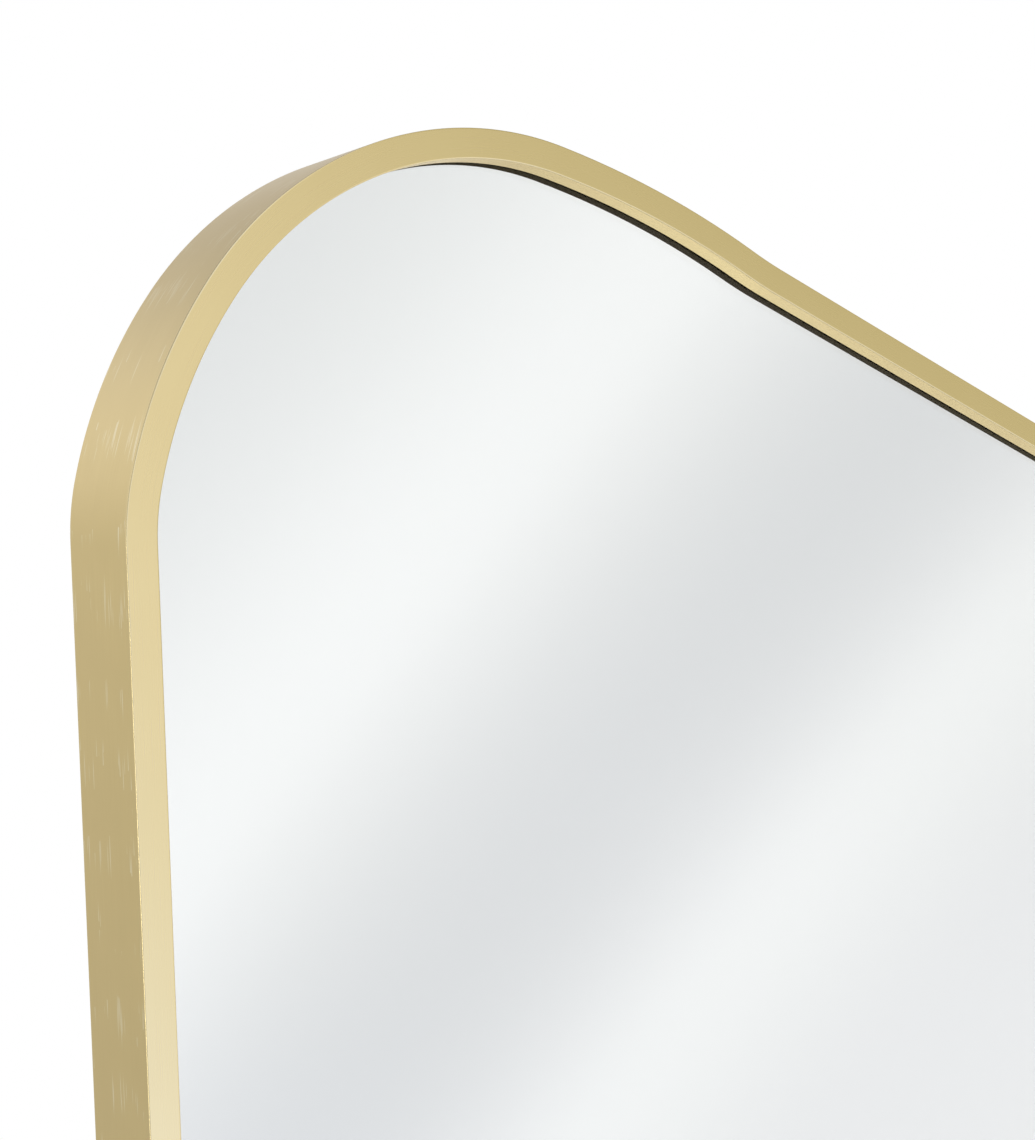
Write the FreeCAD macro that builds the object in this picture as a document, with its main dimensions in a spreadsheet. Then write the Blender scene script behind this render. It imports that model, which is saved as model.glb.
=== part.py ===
# Irregular wall mirror: a brushed-gold aluminium extrusion bent round an uneven
# outline, with the glass set back behind its face and hangers on its back.
#
# Millimetres and degrees. X runs to the right as the mirror is seen on a wall,
# Z runs up, and the wall is the plane Y = 0, so everything stands at negative Y.
# "Off the wall" below is a distance from that plane; "inset" is a distance
# inwards from the outline of the frame's outer side.
import FreeCAD, Part
import math
import os
import Sketcher
from FreeCAD import Placement, Rotation, Vector

os.makedirs("parts", exist_ok=True)
doc = FreeCAD.newDocument("IrregularMirror")

# ---------------------------------------------------------------- sizes
# Outline, clockwise from the straight left side. A bend has a radius and a turn.
# The side and bottom straights and the base lobe's turn follow from closing it.
OUTLINE_SIZES = {
    "kink_radius": 60, "kink_turn": 13,
    "shoulder_radius": 115, "shoulder_turn": 23,
    "crown_radius": 91, "crown_turn": 66.5,
    "ease_radius": 292, "ease_turn": 13,
    "dip_radius": 137, "dip_turn": 4.5,
    "top_run": 255,
    "right_lobe_radius": 112, "right_lobe_turn": 82,
    "upper_flank_run": 75,
    "waist_radius": 450, "waist_turn": 26,
    "lower_flank_run": 105,
    "base_lobe_radius": 150,
    "heel_radius": 120,
}
FRAME_SIZES = {
    "frame_depth": 32,
    "face_width": 7,
    "box_depth": 5.75,
    "wall_thickness": 1.4,
    "rear_lip_reach": 5,
    "rear_lip_thickness": 1.2,
    "arris_radius": 0.35,
    "seat_round": 0.3,
    "joint_from_side": 231,
    "joint_gap": 0.12,
}
GLAZING_SIZES = {
    "tape_thickness": 0.3,
    "tape_setback": 0.4,
    "glass_thickness": 3,
    "edge_clearance": 0.8,
    "coating_thickness": 0.15,
    "coating_setback": 0.5,
    "film_thickness": 0.25,
    "film_setback": 1,
    "spacer_length": 24,
    "spacer_pitch": 150,
}
BACK_SIZES = {
    "board_thickness": 4,
    "board_recess": 6,
    "board_clearance": 1.2,
    "clip_pitch": 185,
    "clip_width": 14,
    "clip_sheet": 1,
    "clip_wall_gap": 0.6,
    "clip_toe": 4.2,
    "clip_foot": 12,
    "clip_bend": 0.3,
    "bumper_radius": 7,
    "bumper_round": 1.2,
    "bumper_proud": 1.2,
    "bumper_inset": 42,
}
HANGER_SIZES = {
    "hanger_height": 600,
    "hanger_from_side": 105,
    "hanger_spread": 290,
    "side_hanger_from_side": 372,
    "side_hanger_spread": 240,
    "strap_width": 14,
    "strap_length": 32,
    "strap_thickness": 1.2,
    "strap_round": 4,
    "strap_screw_inner": 8.5,
    "strap_screw_outer": 24,
    "ring_wire": 2.6,
    "ring_clearance": 0.06,
    "ring_bar": 16,
    "ring_corner_radius": 3,
    "ring_side_run": 3,
    "ring_lean": 2,
    "block_length": 62,
    "block_width": 46,
    "block_above": 12,
    "block_clearance": 0.3,
    "block_gap": 17,
}
FASTENER_SIZES = {
    "clip_screw_head_radius": 3, "clip_screw_head": 1.8,
    "clip_screw_radius": 1.5, "clip_screw_length": 4.7,
    "hanger_screw_head_radius": 3.2, "hanger_screw_head": 1.9,
    "hanger_screw_radius": 1.75, "hanger_screw_length": 14,
    "plate_screw_head_radius": 2.2, "plate_screw_head": 0.8,
    "plate_screw_radius": 1.25, "plate_screw_length": 3,
    "set_screw_radius": 1.25, "set_screw_length": 2.4,
    "screw_round": 0.5,
    "screw_clearance": 0.05,
    "access_clearance": 0.2,
    "key_length": 80,
    "key_clearance": 0.1,
    "key_screw_inner": 12,
    "key_screw_outer": 30,
    "rear_plate_thickness": 2,
    "rear_plate_width": 11,
}

sheet = doc.addObject("Spreadsheet::Sheet", "Sizes")
row = 0
for sizes in (OUTLINE_SIZES, FRAME_SIZES, GLAZING_SIZES, BACK_SIZES, HANGER_SIZES, FASTENER_SIZES):
    for alias, value in sizes.items():
        row += 1
        sheet.set(f"A{row}", alias)
        sheet.set(f"B{row}", str(value))
        sheet.setAlias(f"B{row}", alias)
doc.recompute()


def measure(expression):
    """The number that an expression in the sheet's sizes comes to."""
    return float(sheet.evalExpression(expression))


def size(alias):
    return measure("Sizes." + alias)


# Distances off the wall, from the bumpers' faces to the frame's face
REAR_EDGE = "Sizes.bumper_proud"
LIP_FRONT = f"{REAR_EDGE} + Sizes.rear_lip_thickness"
FACE = f"{REAR_EDGE} + Sizes.frame_depth"
SEAT = f"{FACE} - Sizes.box_depth"
GLASS_FRONT = f"{SEAT} - Sizes.tape_thickness"
GLASS_BACK = f"{GLASS_FRONT} - Sizes.glass_thickness"
COATING_BACK = f"{GLASS_BACK} - Sizes.coating_thickness"
FILM_BACK = f"{COATING_BACK} - Sizes.film_thickness"
BOARD_BACK = f"{REAR_EDGE} + Sizes.board_recess"
BOARD_FRONT = f"{BOARD_BACK} + Sizes.board_thickness"
FOAM_THICKNESS = f"({FILM_BACK}) - ({BOARD_FRONT})"
KNUCKLE_RADIUS = "Sizes.ring_wire / 2 + Sizes.ring_clearance + Sizes.strap_thickness"
RING_AXIS = f"{BOARD_BACK} - ({KNUCKLE_RADIUS})"

# Insets from the outline
GLASS_EDGE = "Sizes.wall_thickness + Sizes.edge_clearance"
BOARD_EDGE = "Sizes.wall_thickness + Sizes.board_clearance"
CLIP_RISER = "Sizes.wall_thickness + Sizes.clip_wall_gap + Sizes.clip_toe"
CLIP_SCREW = f"{CLIP_RISER} + Sizes.clip_sheet + Sizes.clip_foot / 2"
KEY_LINE = "Sizes.face_width / 2"
PLATE_LINE = "Sizes.wall_thickness + Sizes.rear_lip_reach / 2"


# ---------------------------------------------------------------- outline
class Stretch:
    """One straight (side = 0) or one bend (side = 1 turns right, -1 left)."""

    def __init__(self, name, start, heading, side, length=0.0, radius=0.0, turn=0.0):
        self.name = name
        self.start = start
        self.heading = heading
        self.side = side
        self.radius = radius
        self.turn = turn
        self.length = length if side == 0 else radius * math.radians(turn)
        self.centre = start + inward(heading) * radius * side
        self.end, self.end_heading = self.at(self.length)

    def at(self, travelled):
        """Point and heading after some length along the stretch."""
        if self.side == 0:
            return self.start + along(self.heading) * travelled, self.heading
        heading = self.heading - self.side * math.degrees(travelled / self.radius)
        return self.centre - inward(heading) * self.radius * self.side, heading

    def edge(self, inset=0.0):
        """The stretch moved inwards, as sketch geometry."""
        shift = inward(self.heading) * inset
        if self.side == 0:
            return Part.LineSegment(self.start + shift, self.end + shift)
        last = self.heading + 90 if self.side == 1 else self.heading - 90 + self.turn
        circle = Part.Circle(self.centre, Vector(0, 0, 1), self.radius - self.side * inset)
        return Part.ArcOfCircle(circle, math.radians(last - self.turn), math.radians(last))


def along(heading):
    return Vector(math.cos(math.radians(heading)), math.sin(math.radians(heading)), 0)


def inward(heading):
    return Vector(math.sin(math.radians(heading)), -math.cos(math.radians(heading)), 0)


def walk(side_run, bottom_run):
    """The closed outline's stretches, from the foot of the left side."""
    stretches = []
    place = Vector(0, size("heel_radius"), 0)
    heading = 90.0

    def straight(name, length):
        stretches.append(Stretch(name, place, heading, 0, length=length))

    def bend(name, side, turn):
        radius = size(name + "_radius")
        stretches.append(Stretch(name, place, heading, side, radius=radius, turn=turn))

    for name, side in PLAN:
        if name == "side_run":
            straight(name, side_run)
        elif name == "bottom_run":
            straight(name, bottom_run)
        elif side == 0:
            straight(name, size(name))
        elif name == "base_lobe":
            bend(name, side, heading + 180)
        elif name == "heel":
            bend(name, side, 90)
        else:
            bend(name, side, size(name + "_turn"))
        place = stretches[-1].end
        heading = stretches[-1].end_heading
    return stretches


PLAN = [
    ("side_run", 0), ("kink", 1), ("shoulder", 1), ("crown", 1), ("ease", 1), ("dip", -1),
    ("top_run", 0), ("right_lobe", 1), ("upper_flank_run", 0), ("waist", -1),
    ("lower_flank_run", 0), ("base_lobe", 1), ("bottom_run", 0), ("heel", 1),
]
SOLVED = ("side_run", "bottom_run", "base_lobe", "heel")
open_end = walk(0, 0)[-1].end
OUTLINE = walk(size("heel_radius") - open_end.y, open_end.x)
BY_NAME = {stretch.name: stretch for stretch in OUTLINE}

extent = Part.Wire([stretch.edge().toShape() for stretch in OUTLINE]).optimalBoundingBox(False)
CENTRE = Vector(-(extent.XMin + extent.XMax) / 2, 0, -(extent.YMin + extent.YMax) / 2)


def draw_outline(sketch, inset, joint=None):
    """Draw the outline, fully held by the sheet's sizes, at an inset.

    With a joint it is left open there, in the middle of the bottom straight.
    """
    depth = measure(inset)
    stretches = list(OUTLINE)
    if joint:
        bottom = PLAN.index(("bottom_run", 0))
        stretches = stretches[bottom + 1:] + stretches[:bottom]
    names = {}
    for stretch in stretches:
        names[stretch.name] = sketch.addGeometry(stretch.edge(depth), False)
    chain = [(names[stretch.name], stretch.side) for stretch in stretches]
    if joint:
        first, last = draw_joint_ends(sketch, joint)
        join_tangent(sketch, [(first, 0)] + chain + [(last, 0)], closed=False)
        levels = (first, last)
    else:
        join_tangent(sketch, chain)
        levels = (names["bottom_run"],)
    for stretch in stretches:
        number = names[stretch.name]
        if stretch.side != 0:
            sign = "-" if stretch.side == 1 else "+"
            dimension(sketch, "Radius", (number,), f"Sizes.{stretch.name}_radius {sign} ({inset})")
        if stretch.name in SOLVED:
            continue
        if stretch.side == 0:
            dimension(sketch, "Distance", (number,), f"Sizes.{stretch.name}")
        else:
            dimension(sketch, "Angle", (number,), f"Sizes.{stretch.name}_turn")
    sketch.addConstraint(Sketcher.Constraint("Vertical", names["side_run"]))
    pin_point(sketch, names["side_run"], 1, "X", inset)
    for number in levels:
        sketch.addConstraint(Sketcher.Constraint("Horizontal", number))
        pin_point(sketch, number, 1, "Y", inset)


def join_tangent(sketch, chain, closed=True):
    """Join pieces (number, side) end to end, each tangent to the one before."""
    following = chain[1:] + chain[:1] if closed else chain[1:]
    for (before, before_side), (after, after_side) in zip(chain, following):
        leaving = 1 if before_side == 1 else 2
        arriving = 2 if after_side == 1 else 1
        sketch.addConstraint(Sketcher.Constraint("Tangent", before, leaving, after, arriving))


def draw_joint_ends(sketch, joint):
    """The two halves of the bottom straight, either side of the butt joint."""
    bottom = BY_NAME["bottom_run"]
    half_gap = size("joint_gap") / 2
    left = Vector(measure(joint) - half_gap, 0, 0)
    right = Vector(measure(joint) + half_gap, 0, 0)
    first = sketch.addGeometry(Part.LineSegment(left, bottom.end), False)
    last = sketch.addGeometry(Part.LineSegment(bottom.start, right), False)
    pin_point(sketch, first, 1, "X", f"{joint} - Sizes.joint_gap / 2")
    pin_point(sketch, last, 2, "X", f"{joint} + Sizes.joint_gap / 2")
    return first, last


# ---------------------------------------------------------------- sketching
def dimension(sketch, kind, items, expression):
    """Add one dimension and bind it to the sheet."""
    value = measure(expression)
    if kind == "Angle":
        value = math.radians(value)
    number = sketch.addConstraint(Sketcher.Constraint(kind, *items, value))
    name = f"{kind.lower()}_{number}"
    sketch.renameConstraint(number, name)
    sketch.setExpression("Constraints." + name, expression)


def pin_point(sketch, item, end, axis, expression):
    """Hold one end of a piece of geometry at a distance from the origin."""
    value = measure(expression)
    if abs(value) < 1e-9:
        axis_line = -2 if axis == "X" else -1
        sketch.addConstraint(Sketcher.Constraint("PointOnObject", item, end, axis_line))
    elif value > 0:
        dimension(sketch, "Distance" + axis, (-1, 1, item, end), expression)
    else:
        dimension(sketch, "Distance" + axis, (item, end, -1, 1), f"-({expression})")


def draw_corners(sketch, corners):
    """A closed shape of level and upright lines through corners (x, y, round)."""
    points = [Vector(measure(x), measure(y), 0) for x, y, _ in corners]
    rounds = [measure(radius) if radius else 0.0 for _, _, radius in corners]
    count = len(corners)
    lines = []
    for index in range(count):
        after = (index + 1) % count
        direction = (points[after] - points[index]).normalize()
        start = points[index] + direction * rounds[index]
        end = points[after] - direction * rounds[after]
        lines.append(sketch.addGeometry(Part.LineSegment(start, end), False))
    for index in range(count):
        x, y, radius = corners[index]
        before = lines[index - 1]
        line = lines[index]
        if radius:
            join_round(sketch, before, line, points[index - 1], points[index],
                       points[(index + 1) % count], radius)
        else:
            sketch.addConstraint(Sketcher.Constraint("Coincident", before, 2, line, 1))
        upright = corners[(index + 1) % count][0] == x
        if upright:
            sketch.addConstraint(Sketcher.Constraint("Vertical", line))
            pin_point(sketch, line, 1, "X", x)
        else:
            sketch.addConstraint(Sketcher.Constraint("Horizontal", line))
            pin_point(sketch, line, 1, "Y", y)


def join_round(sketch, before, line, last, corner, following, radius):
    """Round one corner between two lines that stop short of it."""
    value = measure(radius)
    back = (last - corner).normalize()
    forth = (following - corner).normalize()
    centre = corner + (back + forth) * value
    begin = corner + back * value - centre
    finish = corner + forth * value - centre
    first = math.atan2(begin.y, begin.x)
    second = math.atan2(finish.y, finish.x)
    turns_left = begin.x * finish.y - begin.y * finish.x > 0
    if not turns_left:
        first, second = second, first
    if second < first:
        second += 2 * math.pi
    circle = Part.Circle(centre, Vector(0, 0, 1), value)
    arc = sketch.addGeometry(Part.ArcOfCircle(circle, first, second), False)
    ends = (1, 2) if turns_left else (2, 1)
    sketch.addConstraint(Sketcher.Constraint("Tangent", before, 2, arc, ends[0]))
    sketch.addConstraint(Sketcher.Constraint("Tangent", arc, ends[1], line, 1))
    dimension(sketch, "Radius", (arc,), radius)


def draw_circle(sketch, x, y, radius):
    centre = Vector(measure(x), measure(y), 0)
    circle = sketch.addGeometry(Part.Circle(centre, Vector(0, 0, 1), measure(radius)), False)
    dimension(sketch, "Radius", (circle,), radius)
    pin_point(sketch, circle, 3, "X", x)
    pin_point(sketch, circle, 3, "Y", y)


# ---------------------------------------------------------------- bodies
def new_body(label):
    body = doc.addObject("PartDesign::Body", label)
    body.Label = label
    return body


def new_sketch(body, name, role, offset="0"):
    """A sketch on one of the body's own planes, moved along its normal.

    On XZ_Plane the normal points away from the wall, so the offset is a
    distance off the wall. On YZ_Plane it is a distance to the right.
    """
    sketch = body.newObject("Sketcher::SketchObject", name)
    plane = [item for item in body.Origin.OriginFeatures if item.Role == role][0]
    sketch.AttachmentSupport = [(plane, "")]
    sketch.MapMode = "FlatFace"
    sketch.setExpression("AttachmentOffset.Base.z", offset)
    doc.recompute()
    return sketch


def pad(body, sketch, length):
    feature = body.newObject("PartDesign::Pad", sketch.Name + "_pad")
    feature.Profile = sketch
    feature.setExpression("Length", length)
    sketch.Visibility = False
    return feature


def pocket(body, sketch, length):
    """Cut from the sketch away from the wall."""
    feature = body.newObject("PartDesign::Pocket", sketch.Name + "_cut")
    feature.Profile = sketch
    feature.Reversed = True
    feature.setExpression("Length", length)
    return feature


def revolve(body, sketch):
    """Turn the sketch about its level axis, which points at the wall."""
    feature = body.newObject("PartDesign::Revolution", sketch.Name + "_turned")
    feature.Profile = sketch
    feature.ReferenceAxis = (sketch, ["H_Axis"])
    feature.Angle = 360
    return feature


def sweep(body, profile, path):
    feature = body.newObject("PartDesign::AdditivePipe", path.Name + "_pipe")
    feature.Profile = profile
    feature.Spine = path
    feature.Transition = 0
    return feature


def sheet_piece(label, back, thickness, outer, inner=None, holes=()):
    """A flat piece that follows the outline, from its back face forwards."""
    body = new_body(label)
    sketch = new_sketch(body, label + "_outline", "XZ_Plane", back)
    draw_outline(sketch, outer)
    if inner:
        draw_outline(sketch, inner)
    for hole in holes:
        hole(sketch)
    pad(body, sketch, thickness)
    body.Placement = Placement(CENTRE, Rotation())
    return body


def group(label, prototype, places):
    """Several separate copies of one piece, as one sub-part."""
    copies = []
    for place in places:
        copy = prototype.Shape.copy()
        copy.Placement = place.multiply(prototype.Shape.Placement)
        copies.append(copy)
    feature = doc.addObject("Part::Feature", label)
    feature.Label = label
    feature.Shape = Part.Compound(copies)
    return feature



def place_on(stretch, travelled, inset):
    """Placement at a length along a stretch, with its own Z pointing inwards."""
    point, heading = stretch.at(travelled)
    point = point + inward(heading) * measure(inset)
    turn = Rotation(Vector(0, 1, 0), 180 - heading)
    return Placement(CENTRE + Vector(point.x, 0, point.y), turn)


def stations(pitch):
    """Stretches and lengths at even steps round the outline, clear of the joint."""
    total = sum(stretch.length for stretch in OUTLINE)
    count = round(total / pitch)
    bottom = PLAN.index(("bottom_run", 0))
    to_joint = sum(stretch.length for stretch in OUTLINE[:bottom])
    to_joint += OUTLINE[bottom].start.x - size("joint_from_side")
    found = []
    for index in range(count):
        travelled = (to_joint + (index + 0.5) * total / count) % total
        for stretch in OUTLINE:
            if travelled <= stretch.length:
                break
            travelled -= stretch.length
        found.append((stretch, travelled))
    return found


# ---------------------------------------------------------------- frame
JOINT = "Sizes.joint_from_side"
KEY_SCREWS = ["-Sizes.key_screw_outer", "-Sizes.key_screw_inner",
              "Sizes.key_screw_inner", "Sizes.key_screw_outer"]


def joint_holes(body, name, back, line, radius, length):
    """Four holes either side of the butt joint, for its screws."""
    sketch = new_sketch(body, name, "XZ_Plane", back)
    for place in KEY_SCREWS:
        draw_circle(sketch, f"{JOINT} + ({place})", line, radius)
    return pocket(body, sketch, length)


def make_frame():
    """One extrusion, bent round the outline, with a butt joint at the bottom."""
    body = new_body("frame_profile")
    path = new_sketch(body, "frame_path", "XZ_Plane", FACE)
    draw_outline(path, "0", joint=JOINT)
    section = new_sketch(body, "frame_section", "YZ_Plane", f"{JOINT} - Sizes.joint_gap / 2")
    wall = "Sizes.wall_thickness"
    lip_top = f"{wall} + Sizes.rear_lip_reach"
    arris = "Sizes.arris_radius"
    soft = "Sizes.seat_round"
    draw_corners(section, [
        (f"-({FACE})", "0", arris),
        (f"-({FACE})", "Sizes.face_width", arris),
        (f"-({SEAT})", "Sizes.face_width", soft),
        (f"-({SEAT})", wall, None),
        (f"-({LIP_FRONT})", wall, None),
        (f"-({LIP_FRONT})", lip_top, soft),
        (f"-({REAR_EDGE})", lip_top, soft),
        (f"-({REAR_EDGE})", "0", soft),
    ])
    chamber_front = f"-({FACE} - {wall})"
    chamber_back = f"-({SEAT} + {wall})"
    chamber_top = f"Sizes.face_width - {wall}"
    draw_corners(section, [
        (chamber_front, wall, None),
        (chamber_front, chamber_top, None),
        (chamber_back, chamber_top, None),
        (chamber_back, wall, None),
    ])
    doc.recompute()
    sweep(body, section, path)
    doc.recompute()
    access = "Sizes.set_screw_radius + Sizes.access_clearance"
    joint_holes(body, "set_screw_holes", SEAT, KEY_LINE, access, wall)
    through = "Sizes.plate_screw_radius + Sizes.access_clearance"
    joint_holes(body, "plate_screw_holes", REAR_EDGE, PLATE_LINE, through,
                "Sizes.rear_lip_thickness")
    body.Placement = Placement(CENTRE, Rotation())
    return body



def make_front_key():
    """Bar inside the profile's front chamber, across the joint."""
    body = new_body("front_joint_key")
    clearance = "Sizes.key_clearance"
    wall = "Sizes.wall_thickness"
    back = f"{SEAT} + {wall} + {clearance}"
    sketch = new_sketch(body, "front_key_outline", "XZ_Plane", back)
    left = f"{JOINT} - Sizes.key_length / 2"
    right = f"{JOINT} + Sizes.key_length / 2"
    bottom = f"{wall} + {clearance}"
    top = f"Sizes.face_width - {wall} - {clearance}"
    draw_corners(sketch, [(left, bottom, None), (right, bottom, None),
                          (right, top, None), (left, top, None)])
    for place in KEY_SCREWS:
        draw_circle(sketch, f"{JOINT} + ({place})", KEY_LINE,
                    "Sizes.set_screw_radius + Sizes.screw_clearance")
    pad(body, sketch, f"Sizes.box_depth - 2 * {wall} - 2 * {clearance}")
    body.Placement = Placement(CENTRE, Rotation())
    return body


def make_rear_plate():
    """Plate on the front side of the rear lip, across the joint."""
    body = new_body("rear_joint_plate")
    sketch = new_sketch(body, "rear_plate_outline", "XZ_Plane", LIP_FRONT)
    left = f"{JOINT} - Sizes.key_length / 2"
    right = f"{JOINT} + Sizes.key_length / 2"
    bottom = "Sizes.wall_thickness + Sizes.key_clearance"
    top = f"{bottom} + Sizes.rear_plate_width"
    draw_corners(sketch, [(left, bottom, None), (right, bottom, None),
                          (right, top, "Sizes.seat_round"), (left, top, "Sizes.seat_round")])
    for place in KEY_SCREWS:
        draw_circle(sketch, f"{JOINT} + ({place})", PLATE_LINE,
                    "Sizes.plate_screw_radius + Sizes.screw_clearance")
    pad(body, sketch, "Sizes.rear_plate_thickness")
    body.Placement = Placement(CENTRE, Rotation())
    return body


def at_joint(line, off_wall):
    """Where the four screws of a joint piece sit."""
    places = []
    for place in KEY_SCREWS:
        point = Vector(measure(f"{JOINT} + ({place})"), -measure(off_wall), measure(line))
        places.append(Placement(CENTRE + point, Rotation()))
    return places


def make_screw(screw):
    """A pan-head screw: its seat is at Y = 0, its head towards the wall."""
    body = new_body(screw + "_pattern")
    sketch = new_sketch(body, screw + "_section", "YZ_Plane")
    radius = f"Sizes.{screw}_radius"
    tip = f"-Sizes.{screw}_length"
    head = f"Sizes.{screw}_head"
    soft = "Sizes.screw_round"
    draw_corners(sketch, [
        (head, "0", None),
        (head, head + "_radius", soft),
        ("0", head + "_radius", None),
        ("0", radius, None),
        (tip, radius, soft),
        (tip, "0", None),
    ])
    revolve(body, sketch)
    return body


def make_set_screw():
    """A headless screw: its driven end is at Y = 0, its tip in front."""
    body = new_body("set_screw_pattern")
    sketch = new_sketch(body, "set_screw_section", "YZ_Plane")
    tip = "-Sizes.set_screw_length"
    draw_corners(sketch, [
        ("0", "0", None),
        ("0", "Sizes.set_screw_radius", None),
        (tip, "Sizes.set_screw_radius", "Sizes.screw_round"),
        (tip, "0", None),
    ])
    revolve(body, sketch)
    return body


# ---------------------------------------------------------------- glazing
def make_spacer():
    """Rubber block between the frame's wall and the glass edge."""
    body = new_body("spacer_pattern")
    sketch = new_sketch(body, "spacer_outline", "XZ_Plane", GLASS_BACK)
    half = "Sizes.spacer_length / 2"
    draw_corners(sketch, [
        (f"-{half}", "Sizes.wall_thickness", None),
        (half, "Sizes.wall_thickness", None),
        (half, GLASS_EDGE, None),
        (f"-{half}", GLASS_EDGE, None),
    ])
    pad(body, sketch, "Sizes.glass_thickness")
    return body


def spacer_places():
    """Evenly along each straight, at about one pitch."""
    places = []
    for stretch in OUTLINE:
        if stretch.side == 0:
            count = max(1, round(stretch.length / size("spacer_pitch")))
            for index in range(count):
                travelled = stretch.length * (index + 0.5) / count
                places.append(place_on(stretch, travelled, "0"))
    return places


# ---------------------------------------------------------------- back
def make_clip():
    """Z-shaped clip: its toe under the rear lip, its foot on the board."""
    body = new_body("clip_pattern")
    sketch = new_sketch(body, "clip_section", "YZ_Plane", "-Sizes.clip_width / 2")
    sheet_metal = "Sizes.clip_sheet"
    tip = "Sizes.wall_thickness + Sizes.clip_wall_gap"
    riser_back = f"{CLIP_RISER} + {sheet_metal}"
    foot_end = f"{riser_back} + Sizes.clip_foot"
    inner = "Sizes.clip_bend"
    outer = f"{inner} + {sheet_metal}"
    draw_corners(sketch, [
        (f"-({LIP_FRONT})", tip, None),
        (f"-({LIP_FRONT})", riser_back, outer),
        (f"-({BOARD_BACK} - {sheet_metal})", riser_back, inner),
        (f"-({BOARD_BACK} - {sheet_metal})", foot_end, None),
        (f"-({BOARD_BACK})", foot_end, None),
        (f"-({BOARD_BACK})", CLIP_RISER, outer),
        (f"-({LIP_FRONT} + {sheet_metal})", CLIP_RISER, inner),
        (f"-({LIP_FRONT} + {sheet_metal})", tip, None),
    ])
    pad(body, sketch, "Sizes.clip_width")
    doc.recompute()
    hole = new_sketch(body, "clip_hole", "XZ_Plane", f"{BOARD_BACK} - {sheet_metal}")
    draw_circle(hole, "0", CLIP_SCREW, "Sizes.clip_screw_radius + Sizes.access_clearance")
    pocket(body, hole, sheet_metal)
    return body


def make_bumper():
    """Round rubber bumper on the board's back; its face is the wall plane."""
    body = new_body("bumper_pattern")
    sketch = new_sketch(body, "bumper_section", "YZ_Plane")
    draw_corners(sketch, [
        ("0", "0", None),
        ("0", "Sizes.bumper_radius", "Sizes.bumper_round"),
        (f"-({BOARD_BACK})", "Sizes.bumper_radius", None),
        (f"-({BOARD_BACK})", "0", None),
    ])
    revolve(body, sketch)
    return body


def clip_screw_holes(sketch):
    """Pilot holes for the clips' screws."""
    for stretch, travelled in CLIP_STATIONS:
        point, heading = stretch.at(travelled)
        point = point + inward(heading) * measure(CLIP_SCREW)
        draw_circle(sketch, f"{point.x:.6f}", f"{point.y:.6f}",
                    "Sizes.clip_screw_radius + Sizes.screw_clearance")


# ---------------------------------------------------------------- hangers
# Name, place of the ring's axis, and turn. A turned hanger carries the mirror
# on its side, so its strap runs level. The upper one's block lies a gap below
# the upright hanger's block.
SIDE_X = "Sizes.side_hanger_from_side"
SIDE_Z = ("Sizes.hanger_height + Sizes.block_above - Sizes.block_length"
          " - Sizes.block_gap - Sizes.block_width / 2")
HANGERS = [
    ("upper_left", "Sizes.hanger_from_side", "Sizes.hanger_height", 0),
    ("upper_right", "Sizes.hanger_from_side + Sizes.hanger_spread", "Sizes.hanger_height", 0),
    ("side_lower", SIDE_X, f"{SIDE_Z} - Sizes.side_hanger_spread", 90),
    ("side_upper", SIDE_X, SIDE_Z, 90),
]
STRAP_SCREWS = ["Sizes.strap_screw_inner", "Sizes.strap_screw_outer"]


def hanger_place(x, z, turn, off_wall="0", drop="0"):
    """Placement at a hanger's axis, or at a drop down its strap."""
    rotation = Rotation(Vector(0, 1, 0), turn)
    down = rotation.multVec(Vector(0, 0, -measure(drop)))
    point = Vector(measure(x), -measure(off_wall), measure(z)) + down
    return Placement(CENTRE + point, rotation)


def make_strap(label, place):
    """Steel strip folded round the ring's bar, with two screw holes."""
    body = new_body(label)
    knuckle = new_sketch(body, label + "_knuckle", "YZ_Plane", "-Sizes.strap_width / 2")
    axis = f"-({RING_AXIS})"
    draw_circle(knuckle, axis, "0", KNUCKLE_RADIUS)
    draw_circle(knuckle, axis, "0", "Sizes.ring_wire / 2 + Sizes.ring_clearance")
    pad(body, knuckle, "Sizes.strap_width")
    doc.recompute()
    leaf = new_sketch(body, label + "_leaf", "XZ_Plane", f"{BOARD_BACK} - Sizes.strap_thickness")
    half = "Sizes.strap_width / 2"
    draw_corners(leaf, [
        (f"-{half}", "-Sizes.strap_length", "Sizes.strap_round"),
        (half, "-Sizes.strap_length", "Sizes.strap_round"),
        (half, "-Sizes.strap_thickness", None),
        (f"-{half}", "-Sizes.strap_thickness", None),
    ])
    for drop in STRAP_SCREWS:
        draw_circle(leaf, "0", f"-{drop}", "Sizes.hanger_screw_radius + Sizes.access_clearance")
    pad(body, leaf, "Sizes.strap_thickness")
    body.Placement = place
    return body


def make_ring(label, place):
    """D-ring of bent wire, raised as it hangs and leaning towards the board."""
    body = new_body(label)
    path = new_sketch(body, label + "_path", "XZ_Plane")
    draw_ring_path(path)
    wire = new_sketch(body, label + "_wire", "YZ_Plane", "Sizes.ring_bar / 2")
    draw_circle(wire, "0", "0", "Sizes.ring_wire / 2")
    doc.recompute()
    sweep(body, wire, path)
    lean = Placement(Vector(), Rotation(Vector(1, 0, 0), size("ring_lean")))
    body.Placement = place.multiply(lean)
    return body


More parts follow.
